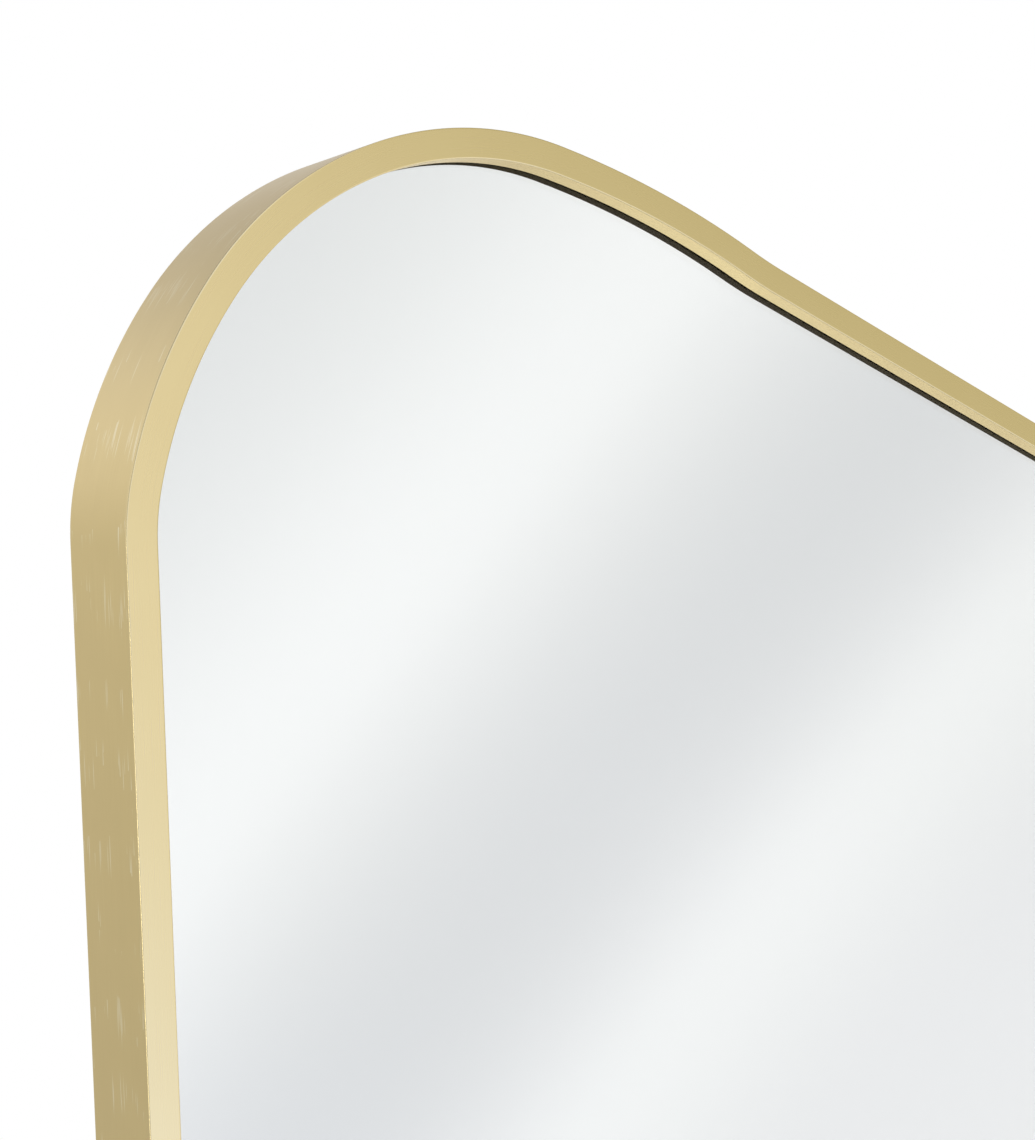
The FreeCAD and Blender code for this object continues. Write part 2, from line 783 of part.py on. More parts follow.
def draw_ring_path(sketch):
    """Bar, corner, side, bow, side and corner, each tangent to the last."""
    half_bar = size("ring_bar") / 2
    corner = size("ring_corner_radius")
    place = Vector(half_bar, 0, 0)
    heading = 180.0
    numbers = []
    for length, radius, turn in (
            (2 * half_bar, 0, 0), (0, corner, 90), (size("ring_side_run"), 0, 0),
            (0, half_bar + corner, 180), (size("ring_side_run"), 0, 0), (0, corner, 90)):
        side = 1 if turn else 0
        stretch = Stretch("ring", place, heading, side, length, radius, turn)
        numbers.append((sketch.addGeometry(stretch.edge(), False), side))
        place = stretch.end
        heading = stretch.end_heading
    join_tangent(sketch, numbers)
    bar, first_corner, first_side, _, second_side, second_corner = [n for n, _ in numbers]
    sketch.addConstraint(Sketcher.Constraint("Horizontal", bar))
    pin_point(sketch, bar, 1, "X", "Sizes.ring_bar / 2")
    pin_point(sketch, bar, 1, "Y", "0")
    dimension(sketch, "Distance", (bar,), "Sizes.ring_bar")
    for number in (first_corner, second_corner):
        dimension(sketch, "Radius", (number,), "Sizes.ring_corner_radius")
    for number in (first_side, second_side):
        sketch.addConstraint(Sketcher.Constraint("Vertical", number))
    dimension(sketch, "Distance", (first_side,), "Sizes.ring_side_run")


def make_block():
    """Plywood block in the foam, which the hanger's screws bite into."""
    body = new_body("block_pattern")
    sketch = new_sketch(body, "block_outline", "XZ_Plane", BOARD_FRONT)
    half = "Sizes.block_width / 2"
    foot = "-(Sizes.block_length - Sizes.block_above)"
    draw_corners(sketch, [
        (f"-{half}", foot, None),
        (half, foot, None),
        (half, "Sizes.block_above", None),
        (f"-{half}", "Sizes.block_above", None),
    ])
    for drop in STRAP_SCREWS:
        draw_circle(sketch, "0", f"-{drop}", "Sizes.hanger_screw_radius + Sizes.screw_clearance")
    pad(body, sketch, FOAM_THICKNESS)
    return body


def block_pockets(sketch):
    """Rectangular holes in the foam, one for each block."""
    gap = "Sizes.block_clearance"
    half = f"(Sizes.block_width / 2 + {gap})"
    head = f"(Sizes.block_above + {gap})"
    tail = f"(Sizes.block_length - Sizes.block_above + {gap})"
    for _, x, z, turn in HANGERS:
        if turn:
            left, right, low, high = f"{x} - {tail}", f"{x} + {head}", f"{z} - {half}", f"{z} + {half}"
        else:
            left, right, low, high = f"{x} - {half}", f"{x} + {half}", f"{z} - {tail}", f"{z} + {head}"
        draw_corners(sketch, [(left, low, None), (right, low, None),
                              (right, high, None), (left, high, None)])


def hanger_screw_holes(sketch):
    """Holes in the board for the straps' screws."""
    for _, x, z, turn in HANGERS:
        for drop in STRAP_SCREWS:
            at_x = f"{x} - {drop}" if turn else x
            at_z = z if turn else f"{z} - {drop}"
            draw_circle(sketch, at_x, at_z, "Sizes.hanger_screw_radius + Sizes.screw_clearance")


# ---------------------------------------------------------------- assembly
CLIP_STATIONS = stations(size("clip_pitch"))
clip_places = [place_on(stretch, travelled, "0") for stretch, travelled in CLIP_STATIONS]
LOBES = [BY_NAME[name] for name in ("crown", "right_lobe", "base_lobe", "heel")]
bumper_places = [place_on(lobe, lobe.length / 2, "Sizes.bumper_inset") for lobe in LOBES]
hanger_places = [hanger_place(x, z, turn) for _, x, z, turn in HANGERS]

parts = [
    make_frame(),
    make_front_key(),
    make_rear_plate(),
    sheet_piece("glazing_tape", GLASS_FRONT, "Sizes.tape_thickness", GLASS_EDGE,
                "Sizes.face_width - Sizes.tape_setback"),
    sheet_piece("mirror_glass", GLASS_BACK, "Sizes.glass_thickness", GLASS_EDGE),
    sheet_piece("silver_coating", COATING_BACK, "Sizes.coating_thickness",
                f"{GLASS_EDGE} + Sizes.coating_setback"),
    sheet_piece("safety_film", FILM_BACK, "Sizes.film_thickness",
                f"{GLASS_EDGE} + Sizes.film_setback"),
    sheet_piece("foam_core", BOARD_FRONT, FOAM_THICKNESS, BOARD_EDGE, holes=[block_pockets]),
    sheet_piece("backing_board", BOARD_BACK, "Sizes.board_thickness", BOARD_EDGE,
                holes=[clip_screw_holes, hanger_screw_holes]),
]
for (name, x, z, turn), place in zip(HANGERS, hanger_places):
    parts.append(make_strap("hanger_strap_" + name, place))
    parts.append(make_ring("hanger_ring_" + name, hanger_place(x, z, turn, RING_AXIS)))

patterns = [make_set_screw(), make_screw("plate_screw"), make_screw("clip_screw"),
            make_screw("hanger_screw"), make_spacer(), make_clip(), make_bumper(), make_block()]
set_screw, plate_screw, clip_screw, hanger_screw, spacer, clip, bumper, block = patterns
doc.recompute()

clip_screw_seat = f"{BOARD_BACK} - Sizes.clip_sheet"
clip_screw_places = []
for stretch, travelled in CLIP_STATIONS:
    place = place_on(stretch, travelled, CLIP_SCREW)
    place.Base.y = -measure(clip_screw_seat)
    clip_screw_places.append(place)
strap_face = f"{BOARD_BACK} - Sizes.strap_thickness"
hanger_screw_places = [hanger_place(x, z, turn, strap_face, drop)
                       for _, x, z, turn in HANGERS for drop in STRAP_SCREWS]
set_screw_seat = f"{FACE} - Sizes.wall_thickness - Sizes.set_screw_length"

parts += [
    group("key_set_screws", set_screw, at_joint(KEY_LINE, set_screw_seat)),
    group("plate_screws", plate_screw, at_joint(PLATE_LINE, REAR_EDGE)),
    group("edge_spacers", spacer, spacer_places()),
    group("retainer_clips", clip, clip_places),
    group("clip_screws", clip_screw, clip_screw_places),
    group("wall_bumpers", bumper, bumper_places),
    group("hanger_blocks", block, hanger_places),
    group("hanger_screws", hanger_screw, hanger_screw_places),
]
doc.recompute()

# ---------------------------------------------------------------- checks and export
for item in doc.Objects:
    if "Invalid" in item.State or "Error" in item.State:
        raise RuntimeError(f"{item.Name} failed: {item.State}")
for part in parts:
    if part.Shape.isNull() or not part.Shape.isValid():
        raise RuntimeError(f"{part.Label} has no valid shape")
for part in parts:
    part.Shape.exportStep(f"parts/{part.Label}.step")
    solids = part.Shape.Solids
    volume = sum(solid.Volume for solid in solids)
    print(f"{part.Label}: {len(solids)} solids, {volume:.1f} cubic mm")
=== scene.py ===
import math

import bmesh
import bpy
from mathutils import Matrix, Vector


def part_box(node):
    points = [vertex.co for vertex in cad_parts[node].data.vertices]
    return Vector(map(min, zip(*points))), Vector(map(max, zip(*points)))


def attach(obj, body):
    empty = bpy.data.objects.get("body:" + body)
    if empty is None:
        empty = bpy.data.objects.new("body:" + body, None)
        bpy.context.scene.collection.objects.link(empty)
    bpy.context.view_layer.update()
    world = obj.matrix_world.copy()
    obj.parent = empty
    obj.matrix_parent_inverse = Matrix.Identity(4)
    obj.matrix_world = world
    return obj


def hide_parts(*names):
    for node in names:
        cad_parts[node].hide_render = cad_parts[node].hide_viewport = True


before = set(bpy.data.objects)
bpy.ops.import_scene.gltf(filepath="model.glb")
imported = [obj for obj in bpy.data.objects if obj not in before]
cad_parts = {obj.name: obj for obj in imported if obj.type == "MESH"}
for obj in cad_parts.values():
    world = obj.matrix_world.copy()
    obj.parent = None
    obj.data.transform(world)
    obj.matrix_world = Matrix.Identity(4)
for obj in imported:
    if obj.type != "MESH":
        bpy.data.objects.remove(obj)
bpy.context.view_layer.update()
scene = bpy.context.scene

# ------------------------------------------------------------ viewpoint
# A close view of the upper left corner, from the left of the mirror and a
# little above the end of its straight side, looking across the glass.
frame_low, frame_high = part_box("frame_profile")
LEFT = frame_low.x
BOTTOM = frame_low.z
FACE = -frame_low.y

VIEW_LEFT_OF_FRAME = 0.1247
VIEW_ABOVE_FLOOR = 0.7326
VIEW_BEFORE_FACE = 0.3124
VIEW_TURN = 35.385
VIEW_TILT = -3.724
VIEW_ROLL = -1.414

camera = bpy.data.objects.new("viewpoint", bpy.data.cameras.new("viewpoint"))
scene.collection.objects.link(camera)
scene.camera = camera
camera.data.sensor_fit = "HORIZONTAL"
camera.data.sensor_width = 36
camera.data.lens = 56.13
camera.data.clip_start = 0.01
stand = Vector((LEFT - VIEW_LEFT_OF_FRAME, -FACE - VIEW_BEFORE_FACE, BOTTOM + VIEW_ABOVE_FLOOR))
turned = Matrix.Rotation(math.radians(-VIEW_TURN), 4, "Z")
tilted = Matrix.Rotation(math.radians(90 + VIEW_TILT), 4, "X")
rolled = Matrix.Rotation(math.radians(VIEW_ROLL), 4, "Z")
camera.matrix_world = Matrix.Translation(stand) @ turned @ tilted @ rolled


# ------------------------------------------------------------ frame
# One aluminium extrusion, bent round the outline and closed by a butt joint
# at the bottom. Its side is brushed lengthwise and its face satin, both
# anodised pale gold, with a small rounded arris between them. The side's gold
# is painted darker and deeper than the face's, as painted shade on the side.
FACE_WIDTH = 0.007
BOX_DEPTH = 0.00575
WALL = 0.0014
LIP_REACH = 0.005
LIP_THICKNESS = 0.0012
ARRIS = 0.00035
SEAT_ROUND = 0.0003
JOINT_FROM_SIDE = 0.231
JOINT_GAP = 0.00012
REAR_EDGE = -frame_high.y
SEAT = FACE - BOX_DEPTH

# Clockwise from the foot of the straight left side: length of a run, or
# radius and turn of a bend, turning left where the turn is negative
BASE_RADIUS = 0.150
HEEL_RADIUS = 0.120
UPPER_OUTLINE = [
    (0.060, 13), (0.115, 23), (0.091, 66.5), (0.292, 13), (0.137, -4.5),
    (0.255, 0), (0.112, 82), (0.075, 0), (0.450, -26), (0.105, 0),
]
DEGREES_A_STEP = 1.0
SHARP_FROM = math.radians(35)


def heading_vector(heading):
    """The way that a station faces, as a vector in the outline's plane."""
    return Vector((math.cos(heading), math.sin(heading)))


def inward_vector(heading):
    """The way from a station towards the inside of the outline."""
    return Vector((math.sin(heading), -math.cos(heading)))


def walk_outline(side_run, bottom_run):
    """Stations (place, heading, way travelled) along the outline's outer edge."""
    place = Vector((0.0, HEEL_RADIUS))
    heading = math.radians(90)
    travelled = 0.0
    stations = [(place, heading, travelled)]
    base_turn = 180 + 90 - sum(turn for radius, turn in UPPER_OUTLINE if turn)
    stretches = [(side_run, 0)] + UPPER_OUTLINE
    stretches += [(BASE_RADIUS, base_turn), (bottom_run, 0), (HEEL_RADIUS, 90)]
    for size, turn in stretches:
        steps = max(1, math.ceil(abs(turn) / DEGREES_A_STEP))
        bend = math.radians(turn) / steps
        stride = size * abs(bend) if turn else size
        for _ in range(steps):
            chord = 2 * size * math.sin(abs(bend) / 2) if turn else size
            place = place + heading_vector(heading - bend / 2) * chord
            heading -= bend
            travelled += stride
            stations.append((place, heading, travelled))
    return stations


open_end = walk_outline(0.0, 0.0)[-1][0]
OUTLINE = walk_outline(HEEL_RADIUS - open_end.y, open_end.x)
ROUND = OUTLINE[-1][2]


def outline_from_joint(gap):
    """The stations again, from one end of the butt joint to the other."""
    foot = [index for index, station in enumerate(OUTLINE) if abs(station[0].y) < 1e-6]
    last_right, first_left = foot[0], foot[-1]
    place, heading, travelled = OUTLINE[first_left]
    start = Vector((JOINT_FROM_SIDE - gap / 2, 0.0))
    stations = [(start, heading, travelled - (start.x - place.x) - ROUND)]
    for place, heading, travelled in OUTLINE[first_left:-1]:
        stations.append((place, heading, travelled - ROUND))
    stations += OUTLINE[:last_right + 1]
    place, heading, travelled = OUTLINE[last_right]
    end = Vector((JOINT_FROM_SIDE + gap / 2, 0.0))
    stations.append((end, heading, travelled + (place.x - end.x)))
    return stations


def outline_point(station, inset, off_wall):
    """The point in the scene that lies inside a station and off the wall by so much."""
    place, heading, _ = station
    at = place + inward_vector(heading) * inset
    return Vector((LEFT + at.x, -off_wall, BOTTOM + at.y))


def rounded(corners, segments=4):
    """Section points from corners (inset, off the wall, radius of its round)."""
    points = []
    count = len(corners)
    for index, (inset, off_wall, radius) in enumerate(corners):
        corner = Vector((inset, off_wall))
        if not radius:
            points.append(corner)
            continue
        back = (Vector(corners[index - 1][:2]) - corner).normalized()
        forth = (Vector(corners[(index + 1) % count][:2]) - corner).normalized()
        centre = corner + (back + forth) * radius
        for step in range(segments + 1):
            swing = math.radians(90) * step / segments
            from_forth = forth * radius * math.cos(swing)
            from_back = back * radius * math.sin(swing)
            points.append(centre - from_forth - from_back)
    return points


def sweep_section(name, section, stations, closed, finish_at=()):
    """A mesh of the section carried along the stations, with its length and girth as UVs.

    finish_at gives the material slot of each side of the section, 0 where it says nothing.
    """
    mesh = bpy.data.meshes.new(name)
    shape = bmesh.new()
    lengthwise = shape.loops.layers.uv.new("lengthwise")
    rings = [[shape.verts.new(outline_point(station, *point)) for point in section]
             for station in stations]
    girth = [0.0]
    for point, after in zip(section, section[1:] + section[:1]):
        girth.append(girth[-1] + (after - point).length)
    pairs = list(zip(rings, rings[1:]))
    spans = [(a[2], b[2]) for a, b in zip(stations, stations[1:])]
    if closed:  # the last station lies on the first, so its ring is not used
        pairs[-1] = (rings[-2], rings[0])
    count = len(section)
    for (ring, following), (begun, done) in zip(pairs, spans):
        for index in range(count):
            after = (index + 1) % count
            face = shape.faces.new((ring[index], following[index], following[after], ring[after]))
            face.smooth = True
            face.material_index = dict(finish_at).get(index, 0)
            corners = ((begun, index), (done, index), (done, index + 1), (begun, index + 1))
            for loop, (travelled, step) in zip(face.loops, corners):
                loop[lengthwise].uv = (travelled, girth[step])
    if closed:
        bmesh.ops.delete(shape, geom=rings[-1], context="VERTS")
    else:
        shape.faces.new(list(reversed(rings[0])))
        shape.faces.new(rings[-1])
    bmesh.ops.recalc_face_normals(shape, faces=shape.faces)
    shape.to_mesh(mesh)
    shape.free()
    piece = bpy.data.objects.new(name, mesh)
    scene.collection.objects.link(piece)
    mesh.set_sharp_from_angle(angle=SHARP_FROM)
    flats = piece.modifiers.new("flats stay flat beside the rounds", "WEIGHTED_NORMAL")
    flats.keep_sharp = True
    return piece


LIP_FRONT = REAR_EDGE + LIP_THICKNESS
LIP_END = WALL + LIP_REACH
frame_section = rounded([
    (0.0, FACE, ARRIS),
    (FACE_WIDTH, FACE, ARRIS),
    (FACE_WIDTH, SEAT, SEAT_ROUND),
    (WALL, SEAT, 0),
    (WALL, LIP_FRONT, 0),
    (LIP_END, LIP_FRONT, SEAT_ROUND),
    (LIP_END, REAR_EDGE, SEAT_ROUND),
    (0.0, REAR_EDGE, SEAT_ROUND),
])
OUTER_SIDE = len(frame_section) - 1
BRUSHED_SHADED_SLOT = 1
extrusion = sweep_section("gold_extrusion", frame_section, outline_from_joint(JOINT_GAP),
                          closed=False, finish_at=[(OUTER_SIDE, BRUSHED_SHADED_SLOT)])
# The glass shows the room's soft bands alone, and not the frame round it
extrusion.visible_transmission = False
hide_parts("frame_profile")
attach(extrusion, "mirror")


def new_finish(name):
    """A material with an empty Principled shader, its tree and that shader."""
    finish = bpy.data.materials.new(name)
    finish.use_nodes = True
    tree = finish.node_tree
    return finish, tree, tree.nodes["Principled BSDF"]


def add_node(tree, kind, **settings):
    node = tree.nodes.new(kind)
    for setting, value in settings.items():
        setattr(node, setting, value)
    return node


def new_effect(name, inputs, outputs):
    """A shader node group with value or vector inputs and value outputs."""
    effect = bpy.data.node_groups.new(name, "ShaderNodeTree")
    for label, kind, default in inputs:
        socket = effect.interface.new_socket(label, in_out="INPUT", socket_type=kind)
        socket.default_value = default
    for label in outputs:
        effect.interface.new_socket(label, in_out="OUTPUT", socket_type="NodeSocketFloat")
    return effect, effect.nodes.new("NodeGroupInput"), effect.nodes.new("NodeGroupOutput")


def place_effect(tree, effect, **values):
    """The group in a material, its inputs given their own values."""
    node = add_node(tree, "ShaderNodeGroup", node_tree=effect)
    for label, value in values.items():
        node.inputs[label.replace("_", " ")].default_value = value
    return node


# Brush marks: long fine lines along U, and sparse short scratches among them.
# A scratch fills the middle of its own cell, and the clouds crowd them together.
VALUE = "NodeSocketFloat"
VECTOR = "NodeSocketVector"
CLOUD_SCALE = 60.0
SCRATCH_CELL = (1.7, 0.34, 1.0)
SCRATCH_SIZES = (0.10, 0.42)
SCRATCH_CORE = 0.05
CROWDED_FROM, CROWDED_TO = 0.38, 0.62
brush_marks, given, out = new_effect(
    "brush_marks",
    [("Vector", VECTOR, (0, 0, 0)), ("Line spacing", VALUE, 0.0002),
     ("Line length", VALUE, 0.03), ("Scratch share", VALUE, 0.3)],
    ["Tone", "Cloud", "Scratch"])
join = brush_marks.links.new
apart = add_node(brush_marks, "ShaderNodeSeparateXYZ")
join(given.outputs["Vector"], apart.inputs[0])
along_line = add_node(brush_marks, "ShaderNodeMath", operation="DIVIDE")
join(apart.outputs["X"], along_line.inputs[0])
join(given.outputs["Line length"], along_line.inputs[1])
across_line = add_node(brush_marks, "ShaderNodeMath", operation="DIVIDE")
join(apart.outputs["Y"], across_line.inputs[0])
join(given.outputs["Line spacing"], across_line.inputs[1])
stretched = add_node(brush_marks, "ShaderNodeCombineXYZ")
join(along_line.outputs[0], stretched.inputs["X"])
join(across_line.outputs[0], stretched.inputs["Y"])
lines = add_node(brush_marks, "ShaderNodeTexNoise", noise_dimensions="2D")
lines.inputs["Scale"].default_value = 1.0
lines.inputs["Detail"].default_value = 3.0
join(stretched.outputs[0], lines.inputs["Vector"])
join(lines.outputs["Fac"], out.inputs["Tone"])
clouds = add_node(brush_marks, "ShaderNodeTexNoise", noise_dimensions="2D")
clouds.inputs["Scale"].default_value = CLOUD_SCALE
clouds.inputs["Detail"].default_value = 2.0
join(given.outputs["Vector"], clouds.inputs["Vector"])
join(clouds.outputs["Fac"], out.inputs["Cloud"])
sparser = add_node(brush_marks, "ShaderNodeVectorMath", operation="MULTIPLY")
sparser.inputs[1].default_value = SCRATCH_CELL
join(stretched.outputs[0], sparser.inputs[0])
cells = add_node(brush_marks, "ShaderNodeTexVoronoi", voronoi_dimensions="2D")
cells.inputs["Scale"].default_value = 1.0
join(sparser.outputs[0], cells.inputs["Vector"])
lots = add_node(brush_marks, "ShaderNodeSeparateColor")
join(cells.outputs["Color"], lots.inputs[0])
size = add_node(brush_marks, "ShaderNodeMapRange")
size.inputs["To Min"].default_value = SCRATCH_SIZES[0]
size.inputs["To Max"].default_value = SCRATCH_SIZES[1]
join(lots.outputs["Green"], size.inputs["Value"])
dash = add_node(brush_marks, "ShaderNodeMapRange", interpolation_type="SMOOTHSTEP")
dash.inputs["From Max"].default_value = SCRATCH_CORE
join(size.outputs["Result"], dash.inputs["From Min"])
join(cells.outputs["Distance"], dash.inputs["Value"])
crowding = add_node(brush_marks, "ShaderNodeMapRange")
crowding.inputs["From Min"].default_value = CROWDED_FROM
crowding.inputs["From Max"].default_value = CROWDED_TO
join(clouds.outputs["Fac"], crowding.inputs["Value"])
share = add_node(brush_marks, "ShaderNodeMath", operation="MULTIPLY")
join(crowding.outputs["Result"], share.inputs[0])
join(given.outputs["Scratch share"], share.inputs[1])
chosen = add_node(brush_marks, "ShaderNodeMath", operation="LESS_THAN")
join(lots.outputs["Red"], chosen.inputs[0])
join(share.outputs[0], chosen.inputs[1])
scratch = add_node(brush_marks, "ShaderNodeMath", operation="MULTIPLY")
join(dash.outputs["Result"], scratch.inputs[0])
join(chosen.outputs[0], scratch.inputs[1])
join(scratch.outputs[0], out.inputs["Scratch"])


RIDGE_HEIGHT = 0.00003
SHEEN_SPREAD = 0.04


def brushed_metal(name, light, shade, scratch_wear_and_glint, edge, rough, grain, scratches):
    """Metal brushed along U. Its tone runs from shade to light, and its scratches are coloured paler:
    wear, and partly a painted glint.
    """
    finish, tree, shader = new_finish(name)
    shader.inputs["Metallic"].default_value = 1.0
    shader.inputs["Specular Tint"].default_value = edge
    uv = add_node(tree, "ShaderNodeUVMap", uv_map="lengthwise")
    marks = place_effect(tree, brush_marks, Scratch_share=scratches)
    tree.links.new(uv.outputs[0], marks.inputs["Vector"])
    blend = add_node(tree, "ShaderNodeMix")
    blend.inputs["Factor"].default_value = 0.5
    tree.links.new(marks.outputs["Tone"], blend.inputs["A"])
    tree.links.new(marks.outputs["Cloud"], blend.inputs["B"])
    tone = add_node(tree, "ShaderNodeMix", data_type="RGBA")
    tone.inputs["A"].default_value = shade
    tone.inputs["B"].default_value = light
    tree.links.new(blend.outputs["Result"], tone.inputs["Factor"])
    # Scratches take the paler colour: bared metal, and partly a painted glint that they catch
    scratched_with_glint = add_node(tree, "ShaderNodeMix", data_type="RGBA")
    scratched_with_glint.inputs["B"].default_value = scratch_wear_and_glint
    tree.links.new(tone.outputs["Result"], scratched_with_glint.inputs["A"])
    tree.links.new(marks.outputs["Scratch"], scratched_with_glint.inputs["Factor"])
    tree.links.new(scratched_with_glint.outputs["Result"], shader.inputs["Base Color"])
    sheen = add_node(tree, "ShaderNodeMapRange")
    sheen.inputs["To Min"].default_value = rough + SHEEN_SPREAD
    sheen.inputs["To Max"].default_value = rough - SHEEN_SPREAD
    tree.links.new(marks.outputs["Tone"], sheen.inputs["Value"])
    tree.links.new(sheen.outputs["Result"], shader.inputs["Roughness"])
    ridges = add_node(tree, "ShaderNodeBump")
    ridges.inputs["Strength"].default_value = grain
    ridges.inputs["Distance"].default_value = RIDGE_HEIGHT
    tree.links.new(marks.outputs["Tone"], ridges.inputs["Height"])
    tree.links.new(ridges.outputs["Normal"], shader.inputs["Normal"])
    return finish


satin_gold = brushed_metal(
    "satin_gold_face", light=(0.86, 0.71, 0.375, 1), shade=(0.82, 0.67, 0.345, 1),
    scratch_wear_and_glint=(0.95, 0.86, 0.6, 1), edge=(1, 0.93, 0.8, 1), rough=0.26, grain=0.015, scratches=0.0)
# The side's gold is the face's gold painted darker and deeper, as painted shade on the side
side_gold_painted_shade = brushed_metal(
    "brushed_gold_side_painted_shade", light=(0.82, 0.66, 0.315, 1), shade=(0.74, 0.59, 0.275, 1),
    scratch_wear_and_glint=(1.0, 0.93, 0.68, 1), edge=(1, 0.95, 0.85, 1), rough=0.32, grain=0.1, scratches=0.35)
extrusion.data.materials.append(satin_gold)
extrusion.data.materials.append(side_gold_painted_shade)


# ------------------------------------------------------------ glazing tape
# Thin black closed-cell foam tape between the seat and the glass, squeezed out
# almost flush with the frame's inner wall. It is seen only as a dark line round
# the glass, where the silver reflects it.
TAPE_THICKNESS = 0.0003
TAPE_SETBACK = 0.0001
GLASS_INSET = 0.0022
GLASS_FRONT = SEAT - TAPE_THICKNESS
PORE_SCALE = 4000.0
tape_section = [
    Vector((FACE_WIDTH - TAPE_SETBACK, SEAT)),
    Vector((FACE_WIDTH - TAPE_SETBACK, GLASS_FRONT)),
    Vector((GLASS_INSET, GLASS_FRONT)),
    Vector((GLASS_INSET, SEAT)),
]
tape = sweep_section("foam_tape", tape_section, OUTLINE, closed=True)
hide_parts("glazing_tape")
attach(tape, "mirror")

black_foam, tree, shader = new_finish("black_foam")
place = add_node(tree, "ShaderNodeTexCoord")
cells = add_node(tree, "ShaderNodeTexVoronoi")
cells.inputs["Scale"].default_value = PORE_SCALE
# The foam is painted darker towards the edge of each cell, as shade in its hollows
pore_shade = add_node(tree, "ShaderNodeMix", data_type="RGBA")
pore_shade.inputs["A"].default_value = (0.034, 0.026, 0.009, 1)
pore_shade.inputs["B"].default_value = (0.018, 0.014, 0.005, 1)
shader.inputs["Roughness"].default_value = 0.9
shader.inputs["Specular IOR Level"].default_value = 0.2
tree.links.new(place.outputs["Object"], cells.inputs["Vector"])
tree.links.new(cells.outputs["Distance"], pore_shade.inputs["Factor"])
tree.links.new(pore_shade.outputs["Result"], shader.inputs["Base Color"])
tape.data.materials.append(black_foam)


# ------------------------------------------------------------ mirror glass
# One sheet of 3 mm clear float glass, cut to the outline, with its edge
# ground and its corners taken off, laid against the tape from behind.
GLASS_THICKNESS = 0.003
GRIND = 0.0004
SILVER_GAP = 0.00003


def plate(name, inset, back, front, chamfer):
    """A flat sheet that follows the outline, with its edge chamfered on both sides."""
    shape = bmesh.new()
    levels = [(inset + chamfer, back), (inset, back + chamfer),
              (inset, front - chamfer), (inset + chamfer, front)]
    rings = [[shape.verts.new(outline_point(station, *level)) for station in OUTLINE[:-1]]
             for level in levels]
    for ring, following in zip(rings, rings[1:]):
        for index in range(len(ring)):
            after = (index + 1) % len(ring)
            shape.faces.new((ring[index], ring[after], following[after], following[index]))
    shape.faces.new(rings[0])
    shape.faces.new(list(reversed(rings[-1])))
    bmesh.ops.recalc_face_normals(shape, faces=shape.faces)
    mesh = bpy.data.meshes.new(name)
    shape.to_mesh(mesh)
    shape.free()
    piece = bpy.data.objects.new(name, mesh)
    scene.collection.objects.link(piece)
    return piece


GLASS_BACK = GLASS_FRONT - GLASS_THICKNESS + SILVER_GAP
glass = plate("float_glass", GLASS_INSET, GLASS_BACK, GLASS_FRONT, GRIND)
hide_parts("mirror_glass")
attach(glass, "mirror")

clear_glass, tree, shader = new_finish("clear_float_glass")
shader.inputs["Transmission Weight"].default_value = 1.0
shader.inputs["Roughness"].default_value = 0.0
shader.inputs["IOR"].default_value = 1.52
place = add_node(tree, "ShaderNodeTexCoord")
draw_lines = add_node(tree, "ShaderNodeTexNoise")
draw_lines.inputs["Scale"].default_value = 3.0
tint = add_node(tree, "ShaderNodeMix", data_type="RGBA")
tint.inputs["A"].default_value = (0.985, 0.995, 0.99, 1)
tint.inputs["B"].default_value = (0.99, 0.997, 0.995, 1)
tree.links.new(place.outputs["Object"], draw_lines.inputs["Vector"])
tree.links.new(draw_lines.outputs["Fac"], tint.inputs["Factor"])
tree.links.new(tint.outputs["Result"], shader.inputs["Base Color"])
glass.data.materials.append(clear_glass)


def dress(node, finish):
    """Give a piece that keeps its own shape a better finish."""
    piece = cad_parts[node]
    for slot in piece.material_slots:
        slot.material = finish
    if not piece.material_slots:
        piece.data.materials.append(finish)


# Silver on the back of the glass, with a trace of unevenness in its tone
silver, tree, shader = new_finish("silvering")
shader.inputs["Metallic"].default_value = 1.0
shader.inputs["Roughness"].default_value = 0.0
place = add_node(tree, "ShaderNodeTexCoord")
bloom = add_node(tree, "ShaderNodeTexNoise")
bloom.inputs["Scale"].default_value = 2.0
tint = add_node(tree, "ShaderNodeMix", data_type="RGBA")
tint.inputs["A"].default_value = (0.955, 0.96, 0.965, 1)
tint.inputs["B"].default_value = (0.965, 0.965, 0.965, 1)
tree.links.new(place.outputs["Object"], bloom.inputs["Vector"])
tree.links.new(bloom.outputs["Fac"], tint.inputs["Factor"])
tree.links.new(tint.outputs["Result"], shader.inputs["Base Color"])
dress("silver_coating", silver)


# ------------------------------------------------------------ film and foam
# Woven-backed vinyl film covers the silver's paint so that broken glass holds
# together. White bead foam behind it fills the frame's depth to the board.
THREAD_SCALE = 300.0
BEAD_SCALE = 300.0
film, tree, shader = new_finish("woven_safety_film")
place = add_node(tree, "ShaderNodeTexCoord")
warp = add_node(tree, "ShaderNodeTexWave", bands_direction="X")
weft = add_node(tree, "ShaderNodeTexWave", bands_direction="Z")
weave = add_node(tree, "ShaderNodeMath", operation="MULTIPLY")
thread = add_node(tree, "ShaderNodeMix", data_type="RGBA")
thread.inputs["A"].default_value = (0.40, 0.44, 0.49, 1)
thread.inputs["B"].default_value = (0.62, 0.66, 0.70, 1)
raised = add_node(tree, "ShaderNodeBump")
raised.inputs["Distance"].default_value = 0.00005
shader.inputs["Roughness"].default_value = 0.6
for threads in (warp, weft):
    threads.inputs["Scale"].default_value = THREAD_SCALE
    tree.links.new(place.outputs["Object"], threads.inputs["Vector"])
tree.links.new(warp.outputs["Fac"], weave.inputs[0])
tree.links.new(weft.outputs["Fac"], weave.inputs[1])
tree.links.new(weave.outputs[0], thread.inputs["Factor"])
tree.links.new(thread.outputs["Result"], shader.inputs["Base Color"])
tree.links.new(weave.outputs[0], raised.inputs["Height"])
tree.links.new(raised.outputs["Normal"], shader.inputs["Normal"])
dress("safety_film", film)

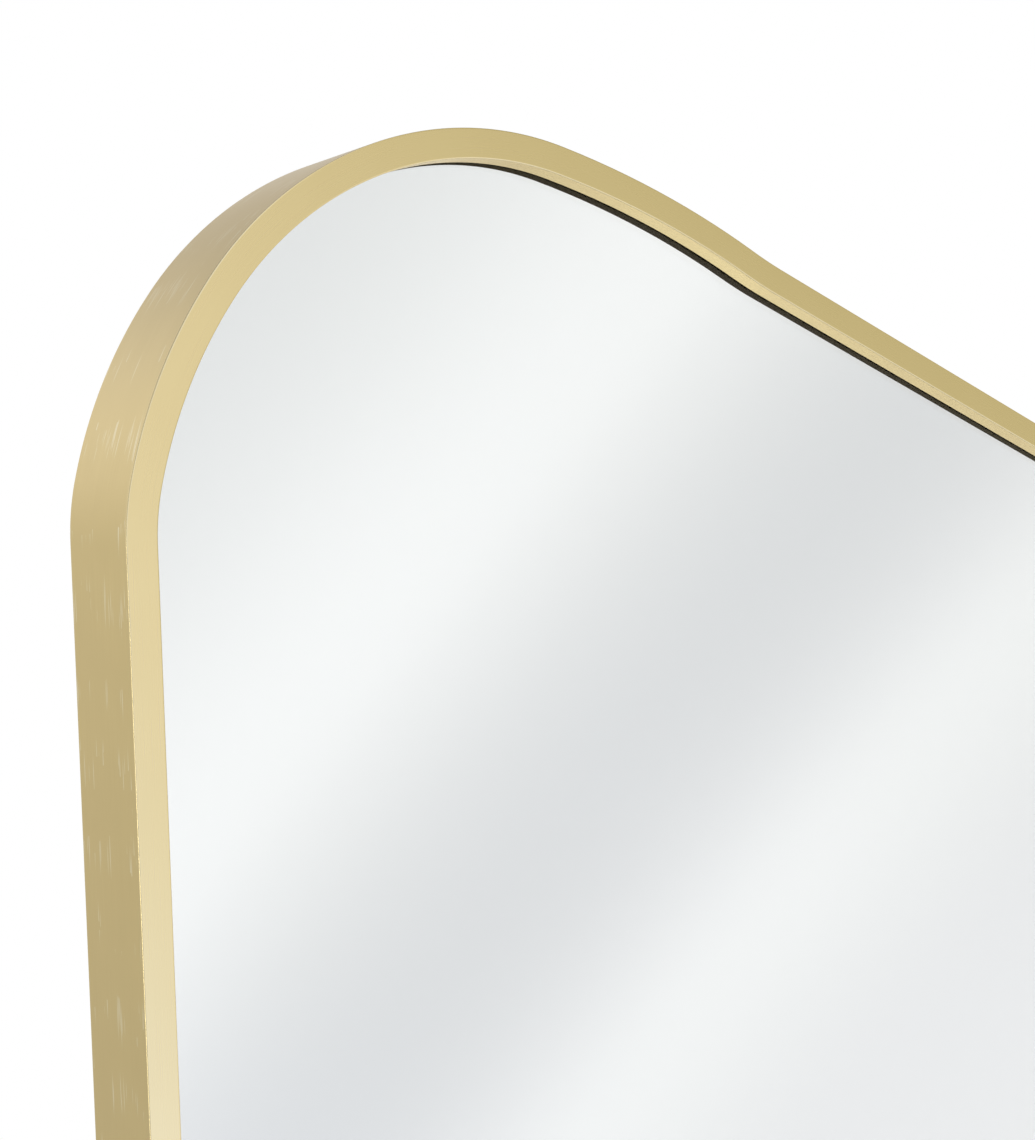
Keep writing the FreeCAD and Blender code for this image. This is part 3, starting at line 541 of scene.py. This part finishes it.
bead_foam, tree, shader = new_finish("white_bead_foam")
place = add_node(tree, "ShaderNodeTexCoord")
beads = add_node(tree, "ShaderNodeTexVoronoi")
beads.inputs["Scale"].default_value = BEAD_SCALE
# The seams between the beads are painted darker, as shade in the dents there
bead_and_seam_shade = add_node(tree, "ShaderNodeMix", data_type="RGBA")
bead_and_seam_shade.inputs["A"].default_value = (0.93, 0.93, 0.92, 1)
bead_and_seam_shade.inputs["B"].default_value = (0.78, 0.78, 0.77, 1)
dents = add_node(tree, "ShaderNodeBump", invert=True)
dents.inputs["Distance"].default_value = 0.0002
shader.inputs["Roughness"].default_value = 0.75
tree.links.new(place.outputs["Object"], beads.inputs["Vector"])
tree.links.new(beads.outputs["Distance"], bead_and_seam_shade.inputs["Factor"])
tree.links.new(bead_and_seam_shade.outputs["Result"], shader.inputs["Base Color"])
tree.links.new(beads.outputs["Distance"], dents.inputs["Height"])
tree.links.new(dents.outputs["Normal"], shader.inputs["Normal"])
dress("foam_core", bead_foam)


# ------------------------------------------------------------ spacers and bumpers
# Black rubber blocks centre the glass in the frame, and round moulded rubber
# feet, stuck to the board, keep the mirror off the wall.
surface_grain, given, out = new_effect(
    "surface_grain",
    [("Vector", VECTOR, (0, 0, 0)), ("Grain size", VALUE, 0.0005), ("Patch size", VALUE, 0.02)],
    ["Grain", "Patch"])
join = surface_grain.links.new
for label, size_label, detail in (("Grain", "Grain size", 2.0), ("Patch", "Patch size", 3.0)):
    per_metre = add_node(surface_grain, "ShaderNodeMath", operation="DIVIDE")
    per_metre.inputs[0].default_value = 1.0
    join(given.outputs[size_label], per_metre.inputs[1])
    noise = add_node(surface_grain, "ShaderNodeTexNoise")
    noise.inputs["Detail"].default_value = detail
    join(given.outputs["Vector"], noise.inputs["Vector"])
    join(per_metre.outputs[0], noise.inputs["Scale"])
    join(noise.outputs["Fac"], out.inputs[label])


def grained(name, light, dark, rough, metallic=0.0, grain=0.0005, patch=0.02, relief=0.1,
            stretch=(1, 1, 1)):
    """A finish with a fine grain in its relief and broad patches in its tone and sheen."""
    finish, tree, shader = new_finish(name)
    shader.inputs["Metallic"].default_value = metallic
    place = add_node(tree, "ShaderNodeTexCoord")
    drawn = add_node(tree, "ShaderNodeMapping")
    drawn.inputs["Scale"].default_value = stretch
    texture = place_effect(tree, surface_grain, Grain_size=grain, Patch_size=patch)
    blend = add_node(tree, "ShaderNodeMix")
    blend.inputs["Factor"].default_value = 0.6
    tone = add_node(tree, "ShaderNodeMix", data_type="RGBA")
    tone.inputs["A"].default_value = dark
    tone.inputs["B"].default_value = light
    sheen = add_node(tree, "ShaderNodeMapRange")
    sheen.inputs["To Min"].default_value = rough * 1.25
    sheen.inputs["To Max"].default_value = rough * 0.75
    pits = add_node(tree, "ShaderNodeBump")
    pits.inputs["Strength"].default_value = relief
    pits.inputs["Distance"].default_value = grain * 0.5
    tree.links.new(place.outputs["Object"], drawn.inputs["Vector"])
    tree.links.new(drawn.outputs[0], texture.inputs["Vector"])
    tree.links.new(texture.outputs["Grain"], blend.inputs["A"])
    tree.links.new(texture.outputs["Patch"], blend.inputs["B"])
    tree.links.new(blend.outputs["Result"], tone.inputs["Factor"])
    tree.links.new(tone.outputs["Result"], shader.inputs["Base Color"])
    tree.links.new(texture.outputs["Patch"], sheen.inputs["Value"])
    tree.links.new(sheen.outputs["Result"], shader.inputs["Roughness"])
    tree.links.new(texture.outputs["Grain"], pits.inputs["Height"])
    tree.links.new(pits.outputs["Normal"], shader.inputs["Normal"])
    return finish


block_rubber = grained("black_block_rubber", light=(0.022, 0.022, 0.022, 1),
                       dark=(0.012, 0.012, 0.012, 1), rough=0.7)
dress("edge_spacers", block_rubber)


def separate_boxes(node):
    """(lowest, highest) corner of each separate piece in a node, from left to right."""
    shape = bmesh.new()
    shape.from_mesh(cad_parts[node].data)
    bmesh.ops.remove_doubles(shape, verts=shape.verts, dist=0.00001)
    unseen = set(shape.verts)
    boxes = []
    for start in list(shape.verts):
        if start not in unseen:
            continue
        unseen.discard(start)
        island = [start]
        for vert in island:
            for edge in vert.link_edges:
                other = edge.other_vert(vert)
                if other in unseen:
                    unseen.discard(other)
                    island.append(other)
        low = Vector([min(vert.co[axis] for vert in island) for axis in range(3)])
        high = Vector([max(vert.co[axis] for vert in island) for axis in range(3)])
        boxes.append((low, high))
    shape.free()
    return sorted(boxes, key=lambda box: (round(box[0].x, 5), round(box[0].z, 5)))


def turned_mesh(name, profile, segments=40):
    """A mesh turned about its own Y axis from (radius, height) points, closed at both ends."""
    shape = bmesh.new()
    rings = []
    for radius, height in profile:
        if radius == 0:
            rings.append([shape.verts.new((0, height, 0))])
            continue
        turns = [2 * math.pi * step / segments for step in range(segments)]
        rings.append([shape.verts.new((radius * math.cos(turn), height, radius * math.sin(turn)))
                      for turn in turns])
    for ring, following in zip(rings, rings[1:]):
        for step in range(segments):
            after = (step + 1) % segments
            corners = [ring[step % len(ring)], ring[after % len(ring)],
                       following[after % len(following)], following[step % len(following)]]
            shape.faces.new(list(dict.fromkeys(corners))).smooth = True
    bmesh.ops.recalc_face_normals(shape, faces=shape.faces)
    mesh = bpy.data.meshes.new(name)
    shape.to_mesh(mesh)
    shape.free()
    return mesh


def copies_of(name, mesh, seats, turn_step=0.0):
    """One piece made of copies of a mesh, each at a seat and turned a little further."""
    shape = bmesh.new()
    for number, seat in enumerate(seats):
        copy = mesh.copy()
        copy.transform(Matrix.Translation(seat) @ Matrix.Rotation(turn_step * number, 4, "Y"))
        shape.from_mesh(copy)
        bpy.data.meshes.remove(copy)
    merged = bpy.data.meshes.new(name)
    shape.to_mesh(merged)
    shape.free()
    merged.set_sharp_from_angle(angle=math.radians(30))
    piece = bpy.data.objects.new(name, merged)
    scene.collection.objects.link(piece)
    return piece


BUMPER_RADIUS = 0.007
bumper_boxes = separate_boxes("wall_bumpers")
BUMPER_TALL = bumper_boxes[0][1].y - bumper_boxes[0][0].y
bumper_profile = [
    (0, 0), (BUMPER_RADIUS * 0.94, 0), (BUMPER_RADIUS, BUMPER_TALL * 0.08),
    (BUMPER_RADIUS * 0.99, BUMPER_TALL * 0.5), (BUMPER_RADIUS * 0.965, BUMPER_TALL * 0.72),
    (BUMPER_RADIUS * 0.92, BUMPER_TALL * 0.88), (BUMPER_RADIUS * 0.84, BUMPER_TALL * 0.97),
    (BUMPER_RADIUS * 0.74, BUMPER_TALL), (BUMPER_RADIUS * 0.42, BUMPER_TALL),
    (BUMPER_RADIUS * 0.36, BUMPER_TALL * 0.97), (0, BUMPER_TALL * 0.95),
]
bumper_mesh = turned_mesh("bumper", bumper_profile)
bumper_seats = [Vector(((low.x + high.x) / 2, low.y, (low.z + high.z) / 2))
                for low, high in bumper_boxes]
bumpers = copies_of("rubber_bumpers", bumper_mesh, bumper_seats)
bumper_rubber = grained("grey_black_rubber", light=(0.05, 0.05, 0.05, 1),
                        dark=(0.03, 0.03, 0.03, 1), rough=0.55, relief=0.2)
bumpers.data.materials.append(bumper_rubber)
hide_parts("wall_bumpers")
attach(bumpers, "mirror")


# ------------------------------------------------------------ joint key and plate
# A square bar inside the frame's front chamber and a flat plate behind its
# rear lip join the extrusion's two ends. Both are sawn from mill aluminium.
mill_aluminium = grained("mill_aluminium", light=(0.80, 0.80, 0.81, 1), dark=(0.66, 0.66, 0.67, 1),
                         rough=0.35, metallic=1.0, grain=0.0003, patch=0.006, relief=0.15,
                         stretch=(0.08, 1, 1))
dress("front_joint_key", mill_aluminium)
dress("rear_joint_plate", mill_aluminium)
# The glass doesn't mirror the frame, so it mustn't mirror what is inside the frame
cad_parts["front_joint_key"].visible_transmission = False
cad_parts["key_set_screws"].visible_transmission = False


# ------------------------------------------------------------ backing board
# A 4 mm fibreboard sheet, cut to the outline and painted near black by roller
# on its back, which leaves a fine stipple over the fibres.
painted_board = grained("rolled_black_board", light=(0.062, 0.057, 0.052, 1),
                        dark=(0.032, 0.030, 0.028, 1), rough=0.62,
                        grain=0.0011, patch=0.05, relief=0.35)
dress("backing_board", painted_board)


# ------------------------------------------------------------ hanger blocks
# Birch plywood blocks, let into the foam behind each hanger, give its screws
# something to bite. Their plies run level with the board.
PLY_SCALE = 110.0
FIBRE_STRETCH = (60, 60, 900)
plywood, tree, shader = new_finish("birch_plywood")
place = add_node(tree, "ShaderNodeTexCoord")
plies = add_node(tree, "ShaderNodeTexWave", bands_direction="Y")
plies.inputs["Scale"].default_value = PLY_SCALE
plies.inputs["Distortion"].default_value = 0.6
along_grain = add_node(tree, "ShaderNodeMapping")
along_grain.inputs["Scale"].default_value = FIBRE_STRETCH
fibres = add_node(tree, "ShaderNodeTexNoise")
fibres.inputs["Scale"].default_value = 1.0
fibres.inputs["Detail"].default_value = 4.0
both = add_node(tree, "ShaderNodeMath", operation="MULTIPLY")
wood = add_node(tree, "ShaderNodeMix", data_type="RGBA")
wood.inputs["A"].default_value = (0.30, 0.18, 0.09, 1)
wood.inputs["B"].default_value = (0.66, 0.50, 0.32, 1)
sawn = add_node(tree, "ShaderNodeBump")
sawn.inputs["Distance"].default_value = 0.0002
shader.inputs["Roughness"].default_value = 0.7
tree.links.new(place.outputs["Object"], plies.inputs["Vector"])
tree.links.new(place.outputs["Object"], along_grain.inputs["Vector"])
tree.links.new(along_grain.outputs[0], fibres.inputs["Vector"])
tree.links.new(plies.outputs["Fac"], both.inputs[0])
tree.links.new(fibres.outputs["Fac"], both.inputs[1])
tree.links.new(both.outputs[0], wood.inputs["Factor"])
tree.links.new(wood.outputs["Result"], shader.inputs["Base Color"])
tree.links.new(both.outputs[0], sawn.inputs["Height"])
tree.links.new(sawn.outputs["Normal"], shader.inputs["Normal"])
dress("hanger_blocks", plywood)


# ------------------------------------------------------------ clips
# Z-shaped clips pressed from zinc-plated sheet hook under the frame's rear
# lip, and each is screwed to the board through its foot.
zinc_sheet = grained("zinc_plated_sheet", light=(0.78, 0.79, 0.80, 1), dark=(0.58, 0.59, 0.60, 1),
                     rough=0.3, metallic=1.0, grain=0.0004, patch=0.004, relief=0.1)
dress("retainer_clips", zinc_sheet)


# ------------------------------------------------------------ screws
# Pan-head screws of zinc-plated steel with a cross recess: small ones for the
# clips and the joint plate, longer ones for the hangers.
# Head's radius, head's height and shank's radius
SCREW_SIZES = {
    "clip_screws": (0.0030, 0.0018, 0.0015),
    "hanger_screws": (0.0032, 0.0019, 0.00175),
    "plate_screws": (0.0022, 0.0008, 0.00125),
}
TURN_BETWEEN_SCREWS = math.radians(37)
RECESS_FOOT = 0.45


def cross_cutter(reach, width, depth, top):
    """Two tapered bars, crossed, that cut a screw's recess downwards from its top."""
    shape = bmesh.new()
    for quarter in (0, 90):
        made = bmesh.ops.create_cube(shape, size=1.0)["verts"]
        for vert in made:
            narrow = 1.0 if vert.co.y > 0 else RECESS_FOOT
            vert.co = Vector((vert.co.x * 2 * reach * narrow, top + (vert.co.y - 0.4) * depth,
                              vert.co.z * width * narrow))
        bmesh.ops.rotate(shape, verts=made, matrix=Matrix.Rotation(math.radians(quarter), 3, "Y"))
    mesh = bpy.data.meshes.new("cross_cutter")
    shape.to_mesh(mesh)
    shape.free()
    return mesh


def pan_head_screw(name, head_radius, head_height, shank_radius, length):
    """A screw whose head rises from its seat along Y, with its cross recess cut in."""
    profile = [(0, head_height)]
    for share in (0.3, 0.5, 0.68, 0.82, 0.92, 0.98):
        profile.append((head_radius * share, head_height * (1 - 0.6 * share ** 5)))
    profile += [(head_radius, head_height * 0.36), (head_radius, 0), (shank_radius, 0)]
    profile += [(shank_radius, shank_radius - length), (0, -length)]
    blank = bpy.data.objects.new(name, turned_mesh(name, profile))
    recess = cross_cutter(head_radius * 0.58, head_radius * 0.27, head_height * 0.75, head_height)
    cutter = bpy.data.objects.new("recess", recess)
    for item in (blank, cutter):
        scene.collection.objects.link(item)
    cut = blank.modifiers.new("recess", "BOOLEAN")
    cut.operation = "DIFFERENCE"
    cut.solver = "EXACT"
    cut.use_self = True
    cut.object = cutter
    bpy.context.view_layer.update()
    cut_blank = blank.evaluated_get(bpy.context.evaluated_depsgraph_get())
    finished = bpy.data.meshes.new_from_object(cut_blank)
    for item in (blank, cutter):
        bpy.data.objects.remove(item)
    return finished


screw_zinc = grained("zinc_plated_screw", light=(0.75, 0.75, 0.74, 1), dark=(0.52, 0.52, 0.51, 1),
                     rough=0.28, metallic=1.0, grain=0.0003, patch=0.0015, relief=0.08)
for node, (head_radius, head_height, shank_radius) in SCREW_SIZES.items():
    boxes = separate_boxes(node)
    length = boxes[0][1].y - boxes[0][0].y - head_height
    seats = [Vector(((low.x + high.x) / 2, high.y - head_height, (low.z + high.z) / 2))
             for low, high in boxes]
    screw_mesh = pan_head_screw(node + "_blank", head_radius, head_height, shank_radius, length)
    screws = copies_of("cross_" + node, screw_mesh, seats, TURN_BETWEEN_SCREWS)
    screws.data.materials.append(screw_zinc)
    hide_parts(node)
    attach(screws, "mirror")
dress("key_set_screws", screw_zinc)


# ------------------------------------------------------------ hangers
# A nickel-plated strip folded round the bar of a bent wire ring, twice at the
# top for hanging upright and twice at the side for hanging sideways.
nickel_strip = grained("nickel_plated_strip", light=(0.80, 0.78, 0.73, 1), dark=(0.66, 0.64, 0.60, 1),
                       rough=0.2, metallic=1.0, grain=0.0004, patch=0.006, relief=0.06)
nickel_wire = grained("nickel_plated_wire", light=(0.82, 0.80, 0.75, 1), dark=(0.70, 0.68, 0.63, 1),
                      rough=0.14, metallic=1.0, grain=0.0002, patch=0.004, relief=0.05)
for hanger in ("upper_left", "upper_right", "side_lower", "side_upper"):
    dress("hanger_strap_" + hanger, nickel_strip)
    dress("hanger_ring_" + hanger, nickel_wire)


# ------------------------------------------------------------ floor and light
# A pale floor under the mirror, three soft lamps, and a room that gives the
# glass its broad soft bands and the metal its lighter and darker sides.
FLOOR_HALF = 3.0
FLOOR_GAP = 0.0005
WHITE_FROM, WHITE_BY = 0.55, 1.3
floor_mesh = bpy.data.meshes.new("floor")
sides = [(-1, -1), (1, -1), (1, 1), (-1, 1)]
corners = [(x * FLOOR_HALF, y * FLOOR_HALF, BOTTOM - FLOOR_GAP) for x, y in sides]
floor_mesh.from_pydata(corners, [], [(0, 1, 2, 3)])
floor = bpy.data.objects.new("floor", floor_mesh)
scene.collection.objects.link(floor)
floor.visible_glossy = False
floor.visible_transmission = False
pale_floor, tree, shader = new_finish("pale_floor")
shader.inputs["Base Color"].default_value = (0.86, 0.86, 0.86, 1)
shader.inputs["Roughness"].default_value = 0.8
place = add_node(tree, "ShaderNodeTexCoord")
away = add_node(tree, "ShaderNodeVectorMath", operation="LENGTH")
far = add_node(tree, "ShaderNodeMapRange", interpolation_type="SMOOTHSTEP")
far.inputs["From Min"].default_value = WHITE_FROM
far.inputs["From Max"].default_value = WHITE_BY
ray = add_node(tree, "ShaderNodeLightPath")
fades = add_node(tree, "ShaderNodeMath", operation="MULTIPLY")
white = add_node(tree, "ShaderNodeEmission")
sweep = add_node(tree, "ShaderNodeMixShader")
tree.links.new(place.outputs["Object"], away.inputs[0])
tree.links.new(away.outputs["Value"], far.inputs["Value"])
tree.links.new(far.outputs["Result"], fades.inputs[0])
tree.links.new(ray.outputs["Is Camera Ray"], fades.inputs[1])
tree.links.new(fades.outputs[0], sweep.inputs[0])
tree.links.new(shader.outputs[0], sweep.inputs[1])
tree.links.new(white.outputs[0], sweep.inputs[2])
tree.links.new(sweep.outputs[0], tree.nodes["Material Output"].inputs["Surface"])
floor.data.materials.append(pale_floor)


def soft_lamp(name, place, width, height, power):
    """A rectangular soft lamp that faces the middle of the mirror."""
    data = bpy.data.lights.new(name, "AREA")
    data.shape = "RECTANGLE"
    data.size = width
    data.size_y = height
    data.energy = power
    lamp = bpy.data.objects.new(name, data)
    scene.collection.objects.link(lamp)
    lamp.location = place
    lamp.rotation_euler = (-lamp.location).to_track_quat("-Z", "Y").to_euler()
    return lamp


soft_lamp("side_lamp", place=(-1.35, -0.68, -0.05), width=0.2, height=0.6, power=1.7)
overhead_lamp = soft_lamp("overhead_lamp", place=(0.3, -0.5, 2.2), width=3.0, height=3.0, power=20)
back_lamp = soft_lamp("back_lamp", place=(-1.5, 0.8, 1.8), width=0.9, height=0.9, power=12)
# These two light what is matt. The metal shows the room in their place, so that
# no bright line runs along the frame's arris round the crown.
overhead_lamp.visible_glossy = False
back_lamp.visible_glossy = False


# The bands that the glass shows lie across the view at 40 degrees. Their levels
# go by how far a direction points across them.
BAND_SLOPE = math.radians(40)
right = camera.matrix_world.to_3x3() @ Vector((1, 0, 0))
up = camera.matrix_world.to_3x3() @ Vector((0, 1, 0))
across_bands = right * math.cos(BAND_SLOPE) - up * math.sin(BAND_SLOPE)
across_bands.y = -across_bands.y
BANDS = [
    (-1.00, (0.84, 0.84, 0.85)), (-0.82, (0.97, 0.97, 0.97)), (-0.66, (0.80, 0.80, 0.815)),
    (-0.50, (0.96, 0.96, 0.96)), (-0.36, (0.80, 0.80, 0.81)), (-0.23, (0.81, 0.815, 0.815)),
    (-0.15, (0.91, 0.913, 0.913)), (-0.085, (0.995, 0.995, 0.995)), (-0.035, (1.0, 1.0, 1.0)),
    (0.0, (0.94, 0.94, 0.94)), (0.05, (0.83, 0.832, 0.838)), (0.11, (0.755, 0.76, 0.775)),
    (0.16, (0.785, 0.788, 0.80)), (0.20, (0.87, 0.87, 0.88)), (0.24, (0.99, 0.99, 0.99)),
    (0.29, (0.93, 0.93, 0.93)), (0.35, (0.86, 0.855, 0.872)), (0.50, (0.95, 0.95, 0.95)),
    (0.66, (0.81, 0.81, 0.825)), (0.82, (0.96, 0.96, 0.96)), (1.00, (0.84, 0.84, 0.85)),
]
# What the metal shows: before the mirror the levels go by how far a direction
# points to the dim side, and behind it by how high it points.
DIM_SIDE = Vector((0.8, -0.3, 0.5))
FRONT_LEVELS = [
    (-0.70, (0.70, 0.70, 0.72)), (-0.35, (0.60, 0.61, 0.64)), (0.02, (0.58, 0.60, 0.66)),
    (0.25, (1.14, 1.28, 1.95)), (0.40, (0.96, 1.02, 1.17)), (0.52, (0.925, 0.93, 0.96)),
    (0.62, (0.97, 0.97, 1.01)), (0.70, (0.83, 0.825, 0.80)), (0.82, (0.635, 0.625, 0.54)),
    (0.95, (0.52, 0.50, 0.37)),
]
BEHIND_LEVELS = [
    (-0.70, (0.49, 0.49, 0.50)), (-0.40, (0.60, 0.60, 0.60)), (-0.17, (0.65, 0.65, 0.65)),
    (0.00, (0.72, 0.72, 0.72)), (0.12, (0.81, 0.81, 0.86)), (0.28, (0.98, 1.00, 1.09)),
    (0.42, (0.79, 0.80, 0.92)), (0.60, (0.28, 0.31, 0.40)), (1.00, (0.42, 0.43, 0.45)),
]
BEHIND_FROM, BEHIND_BY = -0.2, 0.5
# A brighter pool low down in front shows at the foot of the metal and the glass
LOW_POOL = Vector((0.2, -0.7, -0.72))
POOL_REACH = math.radians(24)
POOL_GAIN = 0.25
# What lights the matt pieces from all round
DAYLIGHT = (0.92, 0.92, 0.92, 1)
DAYLIGHT_STRENGTH = 0.75


def colour_scale(tree, value, steps):
    """A smooth colour ramp over the values and colours in steps.

    A ramp holds no level above 1, so the levels are divided by the brightest
    and raised again behind it.
    """
    first, last = steps[0][0], steps[-1][0]
    brightest = max(max(colour) for _, colour in steps)
    spread = add_node(tree, "ShaderNodeMapRange")
    spread.inputs["From Min"].default_value = first
    spread.inputs["From Max"].default_value = last
    ramp = add_node(tree, "ShaderNodeValToRGB")
    ramp.color_ramp.interpolation = "B_SPLINE"
    while len(ramp.color_ramp.elements) < len(steps):
        ramp.color_ramp.elements.new(0.5)
    for element, (reach, colour) in zip(ramp.color_ramp.elements, steps):
        element.position = (reach - first) / (last - first)
        element.color = tuple(level / brightest for level in colour) + (1,)
    raised = add_node(tree, "ShaderNodeVectorMath", operation="SCALE")
    raised.inputs["Scale"].default_value = brightest
    tree.links.new(value, spread.inputs["Value"])
    tree.links.new(spread.outputs["Result"], ramp.inputs["Fac"])
    tree.links.new(ramp.outputs["Color"], raised.inputs[0])
    return raised.outputs["Vector"]


world = bpy.data.worlds.new("studio")
scene.world = world
world.use_nodes = True
tree = world.node_tree
tree.nodes.clear()
direction = add_node(tree, "ShaderNodeTexCoord").outputs["Generated"]


def how_far_towards(aim):
    """A direction's share along an aim: 1 along it, -1 against it."""
    toward = add_node(tree, "ShaderNodeVectorMath", operation="DOT_PRODUCT")
    toward.inputs[1].default_value = aim
    tree.links.new(direction, toward.inputs[0])
    return toward.outputs["Value"]


bands = colour_scale(tree, how_far_towards(across_bands), BANDS)
front = colour_scale(tree, how_far_towards(DIM_SIDE.normalized()), FRONT_LEVELS)
axes = add_node(tree, "ShaderNodeSeparateXYZ")
tree.links.new(direction, axes.inputs[0])
behind = colour_scale(tree, axes.outputs["Z"], BEHIND_LEVELS)
facing_back = add_node(tree, "ShaderNodeMapRange", interpolation_type="SMOOTHSTEP")
facing_back.inputs["From Min"].default_value = BEHIND_FROM
facing_back.inputs["From Max"].default_value = BEHIND_BY
tree.links.new(axes.outputs["Y"], facing_back.inputs["Value"])
room = add_node(tree, "ShaderNodeMix", data_type="RGBA")
tree.links.new(facing_back.outputs["Result"], room.inputs["Factor"])
tree.links.new(front, room.inputs["A"])
tree.links.new(behind, room.inputs["B"])
ray = add_node(tree, "ShaderNodeLightPath")
through_glass = add_node(tree, "ShaderNodeMix", data_type="RGBA")
tree.links.new(ray.outputs["Is Transmission Ray"], through_glass.inputs["Factor"])
tree.links.new(room.outputs["Result"], through_glass.inputs["A"])
tree.links.new(bands, through_glass.inputs["B"])
pool = add_node(tree, "ShaderNodeMapRange", interpolation_type="SMOOTHSTEP")
pool.inputs["From Min"].default_value = math.cos(POOL_REACH)
pool.inputs["To Min"].default_value = 1.0
pool.inputs["To Max"].default_value = 1.0 + POOL_GAIN
tree.links.new(how_far_towards(LOW_POOL.normalized()), pool.inputs["Value"])
reflected = add_node(tree, "ShaderNodeBackground")
tree.links.new(through_glass.outputs["Result"], reflected.inputs["Color"])
tree.links.new(pool.outputs["Result"], reflected.inputs["Strength"])
plain = add_node(tree, "ShaderNodeBackground")
plain.inputs["Color"].default_value = DAYLIGHT
plain.inputs["Strength"].default_value = DAYLIGHT_STRENGTH
white = add_node(tree, "ShaderNodeBackground")
white.inputs["Color"].default_value = (1, 1, 1, 1)
seen = add_node(tree, "ShaderNodeMath", operation="MAXIMUM")
tree.links.new(ray.outputs["Is Glossy Ray"], seen.inputs[0])
tree.links.new(ray.outputs["Is Transmission Ray"], seen.inputs[1])
lit = add_node(tree, "ShaderNodeMixShader")
tree.links.new(seen.outputs[0], lit.inputs[0])
tree.links.new(plain.outputs[0], lit.inputs[1])
tree.links.new(reflected.outputs[0], lit.inputs[2])
shown = add_node(tree, "ShaderNodeMixShader")
tree.links.new(ray.outputs["Is Camera Ray"], shown.inputs[0])
tree.links.new(lit.outputs[0], shown.inputs[1])
tree.links.new(white.outputs[0], shown.inputs[2])
surround = add_node(tree, "ShaderNodeOutputWorld")
tree.links.new(shown.outputs[0], surround.inputs["Surface"])

scene.view_settings.view_transform = "Standard"
